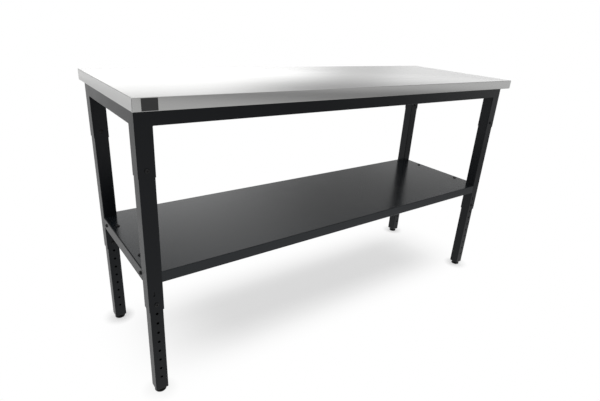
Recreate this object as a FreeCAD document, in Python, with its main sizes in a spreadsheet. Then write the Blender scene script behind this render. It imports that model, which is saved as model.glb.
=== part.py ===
import FreeCAD, Part
import Sketcher

import math
import os

# Assembly table with a stainless worktop, a bottom shelf and four telescoping legs.
#
# +X runs along the length to the right, +Y from the front to the back and +Z up. The origin is on the
# floor, under the middle of the worktop. Each leg is three nested square tubes: a sleeve hangs from the
# top frame, a post is screwed into the sleeve and carries the shelf, and a sliding leg with a row of
# holes is locked in the post by one bolt. The table is built up from the floor: the feet and the top
# hole of the sliding legs set the height of the posts, and the posts set that of shelf and worktop.

DIMENSIONS = {
    # worktop: a folded sheet over a board
    "top_length": 1800.0,
    "top_depth": 600.0,
    "edge_height": 38.0,
    "skin_gauge": 1.2,
    "skin_bend": 2.0,
    "lip_width": 22.0,
    "seam_gap": 0.4,
    "board_bevel": 1.0,
    "board_clearance": 0.2,
    # how far the worktop stands out past the top frame
    "overhang_left": 3.0,
    "overhang_right": 69.0,
    "overhang_front": 5.0,
    "overhang_back": 69.0,
    # top frame
    "rail_height": 40.0,
    "rail_width": 25.0,
    "rail_wall": 1.5,
    "cap_thickness": 3.0,
    "gusset_reach": 70.0,
    "gusset_thickness": 3.0,
    "gusset_screw_inset": 12.0,
    "gusset_screw_offset": 34.0,
    # the three tubes of a leg
    "tube_corner": 2.5,
    "sharp_corner": 0.2,
    "sleeve_side": 50.0,
    "sleeve_wall": 1.2,
    "sleeve_length": 182.0,
    "post_clearance": 0.3,
    "post_wall": 2.0,
    "post_length": 622.0,
    "post_top_gap": 2.0,
    "slide_clearance": 0.5,
    "slide_wall": 2.0,
    # screws, bolts and holes of a leg
    "sleeve_screw_height": 22.0,
    "lock_height": 24.0,
    "slot_width": 5.5,
    "slot_length": 16.0,
    "slot_offset": 5.5,
    "slot_rise": 39.5,
    "hole_radius": 4.5,
    "hole_pitch": 36.5,
    "hole_count": 9,
    "first_hole": 50.0,
    "last_hole_margin": 88.0,
    # plug, foot and lock nut
    "plug_flange": 1.5,
    "plug_core": 33.0,
    "plug_length": 30.0,
    "plug_fin": 1.6,
    "plug_fin_pitch": 8.0,
    "plug_fin_count": 4,
    "plug_fin_start": 4.0,
    "plug_clearance": 0.1,
    "plug_corner": 2.0,
    "pad_radius": 19.0,
    "pad_height": 7.5,
    "pad_rim": 4.0,
    "pad_edge": 1.0,
    "pad_neck": 12.0,
    "pad_floor": 2.2,
    "stem_radius": 4.0,
    "stem_length": 52.0,
    "stem_disc_radius": 7.0,
    "stem_disc": 2.5,
    "stem_clearance": 0.1,
    "thread_clearance": 0.05,
    "collar_gap": 0.3,
    "collar_height": 2.5,
    "foot_gap": 1.2,
    "lock_nut_height": 4.0,
    # shelf
    "shelf_rise": 136.0,
    "shelf_gauge": 1.5,
    "shelf_flange": 38.0,
    "shelf_lip": 12.0,
    "shelf_bend": 2.5,
    "shelf_back_inset": 11.0,
    "shelf_post_gap": 0.1,
    "shelf_end_inset": 3.0,
    "shelf_screw_spacing": 246.0,
    "stiffener_gauge": 1.2,
    "stiffener_depth": 25.0,
    "stiffener_crown": 50.0,
    "stiffener_flange": 15.0,
    "stiffener_end_gap": 5.0,
    # rails under the shelf ends, and their brackets
    "end_rail_height": 40.0,
    "end_rail_gauge": 2.0,
    "end_rail_bend": 3.0,
    "end_rail_gap": 0.5,
    "bracket_thickness": 3.0,
    "bracket_height": 28.0,
    "bracket_margin": 10.0,
    "bracket_width": 32.0,
    "rail_screw_front_inset": 14.0,
    "rail_screw_back_inset": 30.0,
    "rail_screw_drop": 20.0,
    # M8 button-head screws and nuts, and wood screws
    "screw_shank": 4.0,
    "screw_head": 7.0,
    "screw_head_height": 4.4,
    "screw_socket": 5.0,
    "screw_hole": 4.25,
    "nut_flats": 13.0,
    "nut_height": 6.5,
    "head_chamfer_width": 2.4,
    "head_chamfer_height": 1.6,
    "socket_share": 0.6,
    "screw_end": 2.0,
    "wood_shank": 2.2,
    "wood_head": 4.8,
    "wood_head_height": 2.6,
    "wood_socket": 3.0,
    "wood_hole": 2.4,
    "wood_grip": 22.0,
    "pilot_clearance": 0.05,
}

doc = FreeCAD.newDocument("assembly_table")
sizes = doc.addObject("Spreadsheet::Sheet", "sizes")
for row, (word, number) in enumerate(DIMENSIONS.items(), start=1):
    sizes.set(f"A{row}", word)
    sizes.set(f"B{row}", str(number))
    sizes.setAlias(f"B{row}", word)
doc.recompute()

SIDES = ("left", "right")
ENDS = ("front", "back")

# Outer faces of the top frame
FRAME_LEFT = "(-sizes.top_length / 2 + sizes.overhang_left)"
FRAME_RIGHT = "(sizes.top_length / 2 - sizes.overhang_right)"
FRAME_FRONT = "(-sizes.top_depth / 2 + sizes.overhang_front)"
FRAME_BACK = "(sizes.top_depth / 2 - sizes.overhang_back)"

# Sides of the nested tubes, each from the one around it
POST_SIDE = "(sizes.sleeve_side - 2 * sizes.sleeve_wall - 2 * sizes.post_clearance)"
SLIDE_SIDE = f"({POST_SIDE} - 2 * sizes.post_wall - 2 * sizes.slide_clearance)"
SLIDE_BORE = f"({SLIDE_SIDE} - 2 * sizes.slide_wall)"

# Heights above the floor
COLLAR_BOTTOM = "(sizes.pad_height + sizes.collar_gap)"
NUT_BOTTOM = f"({COLLAR_BOTTOM} + sizes.collar_height + sizes.foot_gap)"
PLUG_BOTTOM = f"({NUT_BOTTOM} + sizes.lock_nut_height)"
SLIDE_BOTTOM = f"({PLUG_BOTTOM} + sizes.plug_flange)"
SLIDE_LENGTH = "(sizes.first_hole + (sizes.hole_count - 1) * sizes.hole_pitch + sizes.last_hole_margin)"
LOCK_LEVEL = f"({SLIDE_BOTTOM} + sizes.first_hole + (sizes.hole_count - 1) * sizes.hole_pitch)"
POST_BOTTOM = f"({LOCK_LEVEL} - sizes.lock_height)"
UNDERSIDE = f"({POST_BOTTOM} + sizes.post_length + sizes.post_top_gap + sizes.cap_thickness)"
TABLE_TOP = f"({UNDERSIDE} + sizes.edge_height)"
SLEEVE_TOP = f"({UNDERSIDE} - sizes.cap_thickness)"
SLEEVE_BOTTOM = f"({SLEEVE_TOP} - sizes.sleeve_length)"
SLEEVE_SCREW_LEVEL = f"({SLEEVE_BOTTOM} + sizes.sleeve_screw_height)"
SHELF_TOP = f"({POST_BOTTOM} + sizes.shelf_rise)"
SHELF_UNDER = f"({SHELF_TOP} - sizes.shelf_gauge)"
END_RAIL_BOTTOM = f"({SHELF_UNDER} - sizes.end_rail_height)"
RAIL_SCREW_LEVEL = f"({SHELF_UNDER} - sizes.rail_screw_drop)"


def from_side(side, distance):
    """The X of a place this far inside the frame's left or right outer face."""
    if side == "left":
        return f"({FRAME_LEFT} + {distance})"
    return f"({FRAME_RIGHT} - {distance})"


def from_end(end, distance):
    """The Y of a place this far inside the frame's front or back outer face."""
    if end == "front":
        return f"({FRAME_FRONT} + {distance})"
    return f"({FRAME_BACK} - {distance})"


LEG_X = {side: from_side(side, "sizes.sleeve_side / 2") for side in SIDES}
LEG_Y = {end: from_end(end, "sizes.sleeve_side / 2") for end in ENDS}

# The inset of a post's outer face from the sleeve's
POST_INSET = f"((sizes.sleeve_side - {POST_SIDE}) / 2)"
POST_INNER = f"((sizes.sleeve_side + {POST_SIDE}) / 2)"

# The shelf's folded edges, and its middle, on which its screws and the rail screws are centred
SHELF_FRONT = from_end("front", POST_INSET)
SHELF_BACK = from_end("back", f"({POST_INSET} + sizes.shelf_back_inset)")
SHELF_MIDDLE = f"(({SHELF_FRONT} + {SHELF_BACK}) / 2)"


def value(expression):
    """The number that an expression on the sheet gives."""
    return float(sizes.evalExpression(expression))


def new_body(label):
    body = doc.addObject("PartDesign::Body", label)
    body.Label = label
    return body


def sketch_on(body, plane, name, start="0"):
    """A sketch on one of the body's origin planes, moved along the plane's normal."""
    sketch = body.newObject("Sketcher::SketchObject", name)
    origin_plane = next(item for item in body.Origin.OriginFeatures if item.Role == plane)
    sketch.AttachmentSupport = [(origin_plane, "")]
    sketch.MapMode = "FlatFace"
    if start != "0":
        sketch.setExpression("AttachmentOffset.Base.z", start)
    return sketch


def place_point(sketch, geometry, point, across, up):
    """Ties a point of the sketch to its distances from the sketch's origin."""
    for kind, axis, expression in (("DistanceX", -2, across), ("DistanceY", -1, up)):
        if expression == "0":
            sketch.addConstraint(Sketcher.Constraint("PointOnObject", geometry, point, axis))
            continue
        size = value(expression)
        index = sketch.addConstraint(Sketcher.Constraint(kind, -1, 1, geometry, point, size))
        sketch.setExpression(f"Constraints[{index}]", expression)


def outline(sketch, points):
    """A closed outline of straight lines through points given as pairs of expressions."""
    first = sketch.GeometryCount
    spots = [FreeCAD.Vector(value(across), value(up), 0) for across, up in points]
    count = len(spots)
    for index, spot in enumerate(spots):
        sketch.addGeometry(Part.LineSegment(spot, spots[(index + 1) % count]), False)
    for index, (across, up) in enumerate(points):
        line = first + index
        following = first + (index + 1) % count
        sketch.addConstraint(Sketcher.Constraint("Coincident", line, 2, following, 1))
        place_point(sketch, line, 1, across, up)


def rectangle(sketch, left, right, low, high):
    outline(sketch, [(left, low), (right, low), (right, high), (left, high)])


def square(sketch, side):
    rectangle(sketch, f"-{side} / 2", f"{side} / 2", f"-{side} / 2", f"{side} / 2")


def chamfered_square(sketch, side, chamfer):
    """A square about the sketch's origin with its corners cut off."""
    half = f"({side} / 2)"
    cut = f"({side} / 2 - {chamfer})"
    outline(
        sketch,
        [
            (f"-{cut}", f"-{half}"),
            (cut, f"-{half}"),
            (half, f"-{cut}"),
            (half, cut),
            (cut, half),
            (f"-{cut}", half),
            (f"-{half}", cut),
            (f"-{half}", f"-{cut}"),
        ],
    )


def hexagon(sketch, flats):
    """A hexagon about the sketch's origin, given across its flats."""
    flat = f"({flats} / 2)"
    point = f"({flats} / sqrt(3))"
    outline(
        sketch,
        [
            (point, "0"),
            (f"{point} / 2", flat),
            (f"-{point} / 2", flat),
            (f"-{point}", "0"),
            (f"-{point} / 2", f"-{flat}"),
            (f"{point} / 2", f"-{flat}"),
        ],
    )


def circle(sketch, radius, across="0", up="0"):
    centre = FreeCAD.Vector(value(across), value(up), 0)
    ring = Part.Circle(centre, FreeCAD.Vector(0, 0, 1), value(radius))
    index = sketch.addGeometry(ring, False)
    place_point(sketch, index, 3, across, up)
    constraint = sketch.addConstraint(Sketcher.Constraint("Radius", index, value(radius)))
    sketch.setExpression(f"Constraints[{constraint}]", radius)


def upright_slot(sketch, width, length, across, middle):
    """A slot with round ends, standing upright in the sketch."""
    radius = f"({width} / 2)"
    reach = f"(({length} - {width}) / 2)"
    half = value(width) / 2
    x = value(across)
    low = value(f"{middle} - {reach}")
    high = value(f"{middle} + {reach}")
    normal = FreeCAD.Vector(0, 0, 1)
    upper = Part.Circle(FreeCAD.Vector(x, high, 0), normal, half)
    lower = Part.Circle(FreeCAD.Vector(x, low, 0), normal, half)
    top = sketch.addGeometry(Part.ArcOfCircle(upper, 0, math.pi), False)
    bottom = sketch.addGeometry(Part.ArcOfCircle(lower, math.pi, 2 * math.pi), False)
    corners = [FreeCAD.Vector(x + dx, y, 0) for dx in (-half, half) for y in (high, low)]
    left = sketch.addGeometry(Part.LineSegment(corners[0], corners[1]), False)
    right = sketch.addGeometry(Part.LineSegment(corners[3], corners[2]), False)
    sketch.addConstraint(Sketcher.Constraint("Tangent", top, 2, left, 1))
    sketch.addConstraint(Sketcher.Constraint("Tangent", left, 2, bottom, 1))
    sketch.addConstraint(Sketcher.Constraint("Tangent", bottom, 2, right, 1))
    sketch.addConstraint(Sketcher.Constraint("Tangent", right, 2, top, 1))
    place_point(sketch, top, 3, across, f"({middle} + {reach})")
    place_point(sketch, bottom, 3, across, f"({middle} - {reach})")
    constraint = sketch.addConstraint(Sketcher.Constraint("Radius", top, half))
    sketch.setExpression(f"Constraints[{constraint}]", radius)


def pad(body, sketch, length, backwards=False):
    feature = body.newObject("PartDesign::Pad", f"{sketch.Name}_pad")
    feature.Profile = sketch
    feature.Reversed = backwards
    feature.setExpression("Length", length)
    return feature


def pocket(body, sketch, depth=None, backwards=False):
    """Cuts against the sketch's normal, to a depth or right through."""
    feature = body.newObject("PartDesign::Pocket", f"{sketch.Name}_pocket")
    feature.Profile = sketch
    feature.Reversed = backwards
    if depth is None:
        feature.Type = "ThroughAll"
    else:
        feature.setExpression("Length", depth)
    return feature


def revolution(body, sketch):
    """Turns a half section about the sketch's upright axis."""
    feature = body.newObject("PartDesign::Revolution", f"{sketch.Name}_turn")
    feature.Profile = sketch
    feature.ReferenceAxis = (sketch, ["V_Axis"])
    feature.Angle = 360
    return feature


def dress(body, kind, radius, wanted):
    """Rounds or chamfers the edges of the body's last feature that the test picks."""
    doc.recompute()
    base = body.Tip
    names = [f"Edge{i}" for i, edge in enumerate(base.Shape.Edges, start=1) if wanted(edge)]
    feature = body.newObject(f"PartDesign::{kind}", f"{body.Name}_{kind.lower()}")
    feature.Base = (base, names)
    feature.setExpression("Radius" if kind == "Fillet" else "Size", radius)
    return feature


def runs_along(edge, direction):
    """True for a straight edge parallel to an axis."""
    if edge.Curve.TypeId != "Part::GeomLine":
        return False
    along = edge.Vertexes[-1].Point - edge.Vertexes[0].Point
    return abs(abs(along.normalize().dot(direction)) - 1) < 1e-6


def near(number, expression):
    return abs(number - value(expression)) < 1e-4


X_AXIS = FreeCAD.Vector(1, 0, 0)
Y_AXIS = FreeCAD.Vector(0, 1, 0)
Z_AXIS = FreeCAD.Vector(0, 0, 1)
NORMALS = {"XY_Plane": Z_AXIS, "XZ_Plane": Y_AXIS, "YZ_Plane": X_AXIS}


def inner_corner(wall):
    """The inside radius of a tube's corner, never quite sharp."""
    return f"max(sizes.tube_corner - {wall}; sizes.sharp_corner)"


def tube(label, plane, start, length, left, right, low, high, wall):
    """A tube with rounded corners, drawn on a plane and padded along the plane's normal."""
    body = new_body(label)
    section = sketch_on(body, plane, f"{label}_section", start)
    rectangle(section, left, right, low, high)
    rectangle(section, f"{left} + {wall}", f"{right} - {wall}", f"{low} + {wall}", f"{high} - {wall}")
    pad(body, section, length)
    doc.recompute()
    box = body.Shape.BoundBox

    def at_outer_corner(edge):
        middle = edge.CenterOfMass
        sides = {
            "XY_Plane": ((middle.x, box.XMin, box.XMax), (middle.y, box.YMin, box.YMax)),
            "XZ_Plane": ((middle.x, box.XMin, box.XMax), (middle.z, box.ZMin, box.ZMax)),
            "YZ_Plane": ((middle.y, box.YMin, box.YMax), (middle.z, box.ZMin, box.ZMax)),
        }[plane]
        return all(min(abs(place - a), abs(place - b)) < 1e-4 for place, a, b in sides)

    def at_inner_corner(edge):
        middle = edge.CenterOfMass
        sides = {
            "XY_Plane": ((middle.x, box.XMin, box.XMax), (middle.y, box.YMin, box.YMax)),
            "XZ_Plane": ((middle.x, box.XMin, box.XMax), (middle.z, box.ZMin, box.ZMax)),
            "YZ_Plane": ((middle.y, box.YMin, box.YMax), (middle.z, box.ZMin, box.ZMax)),
        }[plane]
        depth = value(wall)
        return all(abs(min(place - a, b - place) - depth) < 1e-4 for place, a, b in sides)

    normal = NORMALS[plane]
    dress(body, "Fillet", "sizes.tube_corner", lambda e: runs_along(e, normal) and at_outer_corner(e))
    dress(body, "Fillet", inner_corner(wall), lambda e: runs_along(e, normal) and at_inner_corner(e))
    return body


def leg_tube(label, side, wall, bottom, length):
    """A square tube standing about the body's own Z axis."""
    half = f"({side} / 2)"
    return tube(label, "XY_Plane", bottom, length, f"-{half}", half, f"-{half}", half, wall)


def stand_at(piece, side, end):
    """Puts a piece built about the Z axis on the centre line of a leg."""
    piece.setExpression("Placement.Base.x", LEG_X[side])
    piece.setExpression("Placement.Base.y", LEG_Y[end])


def front_hole(body, name, face, level, radius, depth=None):
    """A round hole through a leg tube's front wall, or through its front and back walls."""
    sketch = sketch_on(body, "XZ_Plane", name, face)
    circle(sketch, radius, "0", level)
    return pocket(body, sketch, depth), sketch


# ---------------------------------------------------------------- worktop


def worktop_skin():
    """The folded sheet: a top, four edges turned down and a lip turned in under the board."""
    body = new_body("worktop_skin")
    half_length = "sizes.top_length / 2"
    half_depth = "sizes.top_depth / 2"
    blank = sketch_on(body, "XY_Plane", "skin_outside", UNDERSIDE)
    rectangle(blank, f"-{half_length}", half_length, f"-{half_depth}", half_depth)
    pad(body, blank, "sizes.edge_height")
    dress(
        body,
        "Fillet",
        "sizes.skin_bend",
        lambda edge: near(edge.CenterOfMass.z, TABLE_TOP) and not runs_along(edge, Z_AXIS),
    )
    hollow = sketch_on(body, "XY_Plane", "skin_inside", UNDERSIDE)
    inner_length = f"({half_length} - sizes.skin_gauge)"
    inner_depth = f"({half_depth} - sizes.skin_gauge)"
    rectangle(hollow, f"-{inner_length}", inner_length, f"-{inner_depth}", inner_depth)
    pocket(body, hollow, "sizes.edge_height - sizes.skin_gauge", backwards=True)
    lip = sketch_on(body, "XY_Plane", "skin_lip", UNDERSIDE)
    rectangle(lip, f"-{inner_length}", inner_length, f"-{inner_depth}", inner_depth)
    lip_length = f"({half_length} - sizes.lip_width)"
    lip_depth = f"({half_depth} - sizes.lip_width)"
    rectangle(lip, f"-{lip_length}", lip_length, f"-{lip_depth}", lip_depth)
    pad(body, lip, "sizes.skin_gauge")
    # The end edges stop a hair short of the front and back edges, which shows as a corner seam
    for end, sign in (("front", "-"), ("back", "")):
        seam = sketch_on(body, "YZ_Plane", f"skin_seam_{end}", f"-{half_length}")
        near_side = f"{sign}({half_depth} - sizes.skin_gauge)"
        far_side = f"{sign}({half_depth} - sizes.skin_gauge - sizes.seam_gap)"
        low = f"({UNDERSIDE} + sizes.skin_gauge)"
        high = f"({TABLE_TOP} - sizes.skin_bend)"
        rectangle(seam, near_side, far_side, low, high)
        pocket(body, seam, backwards=True)
    return body


def gusset_screw_places():
    """Where the wood screws rise through the gussets: two at each corner of the frame."""
    near_rail = "sizes.rail_width + sizes.gusset_screw_inset"
    off_sleeve = "sizes.sleeve_side + sizes.gusset_screw_offset"
    places = []
    for side in SIDES:
        for end in ENDS:
            places.append((from_side(side, f"({off_sleeve})"), from_end(end, f"({near_rail})")))
            places.append((from_side(side, f"({near_rail})"), from_end(end, f"({off_sleeve})")))
    return places


def worktop_board():
    """The board inside the skin, rebated for the lip and drilled for the wood screws."""
    body = new_body("worktop_board")
    half_length = "(sizes.top_length / 2 - sizes.skin_gauge - sizes.board_clearance)"
    half_depth = "(sizes.top_depth / 2 - sizes.skin_gauge - sizes.board_clearance)"
    blank = sketch_on(body, "XY_Plane", "board_outside", UNDERSIDE)
    rectangle(blank, f"-{half_length}", half_length, f"-{half_depth}", half_depth)
    pad(body, blank, "sizes.edge_height - sizes.skin_gauge")
    top = f"({TABLE_TOP} - sizes.skin_gauge)"
    dress(body, "Chamfer", "sizes.board_bevel", lambda edge: near(edge.CenterOfMass.z, top))
    rebate = sketch_on(body, "XY_Plane", "board_rebate", UNDERSIDE)
    rectangle(rebate, f"-{half_length}", half_length, f"-{half_depth}", half_depth)
    inner_length = "(sizes.top_length / 2 - sizes.lip_width - sizes.board_clearance)"
    inner_depth = "(sizes.top_depth / 2 - sizes.lip_width - sizes.board_clearance)"
    rectangle(rebate, f"-{inner_length}", inner_length, f"-{inner_depth}", inner_depth)
    pocket(body, rebate, "sizes.skin_gauge", backwards=True)
    pilots = sketch_on(body, "XY_Plane", "board_pilots", UNDERSIDE)
    for across, up in gusset_screw_places():
        circle(pilots, "sizes.wood_shank + sizes.pilot_clearance", across, up)
    grip = "sizes.wood_grip - sizes.gusset_thickness + sizes.screw_end"
    pocket(body, pilots, grip, backwards=True)
    return body


# ---------------------------------------------------------------- top frame


def long_rail(end):
    """A rail under the front or back of the worktop, between two sleeves."""
    low = f"({UNDERSIDE} - sizes.rail_height)"
    faces = [from_end(end, "0"), from_end(end, "sizes.rail_width")]
    near_face, far_face = sorted(faces, key=value)
    start = from_side("left", "sizes.sleeve_side")
    length = f"{from_side('right', 'sizes.sleeve_side')} - {start}"
    wall = "sizes.rail_wall"
    return tube(f"top_rail_{end}", "YZ_Plane", start, length, near_face, far_face, low, UNDERSIDE, wall)


def short_rail(label, left, right, front, back):
    """A rail that runs from front to back under the worktop."""
    low = f"({UNDERSIDE} - sizes.rail_height)"
    length = f"{back} - {front}"
    return tube(label, "XZ_Plane", f"-{back}", length, left, right, low, UNDERSIDE, "sizes.rail_wall")


def end_rails_of_top():
    for side in SIDES:
        faces = [from_side(side, "0"), from_side(side, "sizes.rail_width")]
        left, right = sorted(faces, key=value)
        front = from_end("front", "sizes.sleeve_side")
        back = from_end("back", "sizes.sleeve_side")
        yield short_rail(f"top_rail_{side}", left, right, front, back)


def cross_rail():
    middle = f"(({FRAME_LEFT} + {FRAME_RIGHT}) / 2)"
    left = f"({middle} - sizes.rail_width / 2)"
    right = f"({middle} + sizes.rail_width / 2)"
    front = from_end("front", "sizes.rail_width")
    back = from_end("back", "sizes.rail_width")
    return short_rail("top_cross_rail", left, right, front, back)


def gusset(side, end):
    """A corner plate between two rails and the sleeve, with two screw holes."""
    body = new_body(f"gusset_{end}_{side}")
    rail = "sizes.rail_width"
    sleeve = "sizes.sleeve_side"
    reach = f"({sleeve} + sizes.gusset_reach)"
    plan = sketch_on(body, "XY_Plane", f"gusset_{end}_{side}_plan", f"{UNDERSIDE} - sizes.gusset_thickness")
    corners = [(sleeve, rail), (reach, rail), (rail, reach), (rail, sleeve), (sleeve, sleeve)]
    outline(plan, [(from_side(side, x), from_end(end, y)) for x, y in corners])
    pad(body, plan, "sizes.gusset_thickness")
    holes = sketch_on(body, "XY_Plane", f"gusset_{end}_{side}_holes", UNDERSIDE)
    inset = "(sizes.rail_width + sizes.gusset_screw_inset)"
    offset = "(sizes.sleeve_side + sizes.gusset_screw_offset)"
    for x, y in ((offset, inset), (inset, offset)):
        circle(holes, "sizes.wood_hole", from_side(side, x), from_end(end, y))
    pocket(body, holes)
    return body


# ---------------------------------------------------------------- legs


def sleeve(side, end):
    """The outer tube, open below, with a hole low on its front face."""
    label = f"leg_sleeve_{end}_{side}"
    body = leg_tube(label, "sizes.sleeve_side", "sizes.sleeve_wall", SLEEVE_BOTTOM, "sizes.sleeve_length")
    face = "sizes.sleeve_side / 2"
    front_hole(body, f"{label}_hole", face, SLEEVE_SCREW_LEVEL, "sizes.screw_hole", "sizes.sleeve_wall * 2")
    stand_at(body, side, end)
    return body


def sleeve_cap(side, end):
    """The plate that closes a sleeve and meets the underside of the worktop."""
    label = f"sleeve_cap_{end}_{side}"
    body = new_body(label)
    plan = sketch_on(body, "XY_Plane", f"{label}_plan", SLEEVE_TOP)
    square(plan, "sizes.sleeve_side")
    pad(body, plan, "sizes.cap_thickness")
    dress(body, "Fillet", "sizes.tube_corner", lambda edge: runs_along(edge, Z_AXIS))
    stand_at(body, side, end)
    return body


def post(side, end):
    """The middle tube, with holes for the sleeve screw and lock bolt and a slot left of the middle."""
    label = f"leg_post_{end}_{side}"
    body = leg_tube(label, POST_SIDE, "sizes.post_wall", POST_BOTTOM, "sizes.post_length")
    face = f"{POST_SIDE} / 2"
    wall = "sizes.post_wall * 2"
    front_hole(body, f"{label}_screw_hole", face, SLEEVE_SCREW_LEVEL, "sizes.screw_hole", wall)
    front_hole(body, f"{label}_lock_hole", face, LOCK_LEVEL, "sizes.screw_hole")
    slot = sketch_on(body, "XZ_Plane", f"{label}_slot", face)
    middle = f"({LOCK_LEVEL} + sizes.slot_rise)"
    upright_slot(slot, "sizes.slot_width", "sizes.slot_length", "-sizes.slot_offset", middle)
    pocket(body, slot, wall)
    stand_at(body, side, end)
    return body


def sliding_leg(side, end):
    """The inner tube, with a row of holes through its front and back walls."""
    label = f"sliding_leg_{end}_{side}"
    body = leg_tube(label, SLIDE_SIDE, "sizes.slide_wall", SLIDE_BOTTOM, SLIDE_LENGTH)
    level = f"({SLIDE_BOTTOM} + sizes.first_hole)"
    hole, sketch = front_hole(body, f"{label}_hole", f"{SLIDE_SIDE} / 2", level, "sizes.hole_radius")
    row = body.newObject("PartDesign::LinearPattern", f"{label}_hole_row")
    row.Originals = [hole]
    row.Direction = (sketch, ["V_Axis"])
    row.setExpression("Length", "(sizes.hole_count - 1) * sizes.hole_pitch")
    row.setExpression("Occurrences", "sizes.hole_count")
    body.Tip = row
    stand_at(body, side, end)
    return body


def leg_plug(side, end):
    """The finned plug in the end of a sliding leg, bored for the foot's stem."""
    label = f"leg_plug_{end}_{side}"
    body = new_body(label)
    flange = sketch_on(body, "XY_Plane", f"{label}_flange", PLUG_BOTTOM)
    chamfered_square(flange, SLIDE_SIDE, "sizes.plug_corner")
    pad(body, flange, "sizes.plug_flange")
    core = sketch_on(body, "XY_Plane", f"{label}_core", SLIDE_BOTTOM)
    chamfered_square(core, "sizes.plug_core", "sizes.plug_corner")
    pad(body, core, "sizes.plug_length")
    fin = sketch_on(body, "XY_Plane", f"{label}_fin", f"({SLIDE_BOTTOM} + sizes.plug_fin_start)")
    chamfered_square(fin, f"({SLIDE_BORE} - 2 * sizes.plug_clearance)", "sizes.plug_corner")
    first_fin = pad(body, fin, "sizes.plug_fin")
    fins = body.newObject("PartDesign::LinearPattern", f"{label}_fins")
    fins.Originals = [first_fin]
    fins.Direction = (fin, ["N_Axis"])
    fins.setExpression("Length", "(sizes.plug_fin_count - 1) * sizes.plug_fin_pitch")
    fins.setExpression("Occurrences", "sizes.plug_fin_count")
    body.Tip = fins
    bore = sketch_on(body, "XY_Plane", f"{label}_bore", PLUG_BOTTOM)
    circle(bore, "sizes.stem_radius + sizes.thread_clearance")
    pocket(body, bore, backwards=True)
    stand_at(body, side, end)
    return body


def lock_nut(side, end):
    """The thin nut that locks the foot's stem under the plug."""
    label = f"foot_lock_nut_{end}_{side}"
    body = new_body(label)
    plan = sketch_on(body, "XY_Plane", f"{label}_plan", NUT_BOTTOM)
    hexagon(plan, "sizes.nut_flats")
    circle(plan, "sizes.stem_radius + sizes.thread_clearance")
    pad(body, plan, "sizes.lock_nut_height")
    stand_at(body, side, end)
    return body


def foot_stem(side, end):
    """The threaded stem: a disc held in the pad, a hexagon for the spanner and the thread."""
    label = f"foot_stem_{end}_{side}"
    body = new_body(label)
    low = "sizes.pad_floor + sizes.stem_clearance"
    high = f"({low} + sizes.stem_length)"
    section = sketch_on(body, "XZ_Plane", f"{label}_section")
    outline(
        section,
        [
            ("0", low),
            ("sizes.stem_disc_radius", low),
            ("sizes.stem_disc_radius", f"({low} + sizes.stem_disc)"),
            ("sizes.stem_radius", f"({low} + sizes.stem_disc)"),
            ("sizes.stem_radius", f"({high} - sizes.screw_end / 2)"),
            ("sizes.stem_radius - sizes.screw_end / 2", high),
            ("0", high),
        ],
    )
    revolution(body, section)
    collar = sketch_on(body, "XY_Plane", f"{label}_collar", COLLAR_BOTTOM)
    hexagon(collar, "sizes.nut_flats")
    pad(body, collar, "sizes.collar_height")
    stand_at(body, side, end)
    return body


def foot_pad(side, end):
    """The round pad on the floor, hollowed for the stem's disc."""
    label = f"foot_pad_{end}_{side}"
    body = new_body(label)
    cavity_top = "(sizes.pad_floor + sizes.stem_disc + 2 * sizes.stem_clearance)"
    cavity = "(sizes.stem_disc_radius + sizes.stem_clearance)"
    throat = "(sizes.stem_radius + sizes.stem_clearance)"
    section = sketch_on(body, "XZ_Plane", f"{label}_section")
    outline(
        section,
        [
            ("0", "0"),
            ("sizes.pad_radius - sizes.pad_edge", "0"),
            ("sizes.pad_radius", "sizes.pad_edge"),
            ("sizes.pad_radius", "sizes.pad_rim"),
            ("sizes.pad_neck", "sizes.pad_height"),
            (throat, "sizes.pad_height"),
            (throat, cavity_top),
            (cavity, cavity_top),
            (cavity, "sizes.pad_floor"),
            ("0", "sizes.pad_floor"),
        ],
    )
    revolution(body, section)
    stand_at(body, side, end)
    return body


# ---------------------------------------------------------------- shelf


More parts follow.
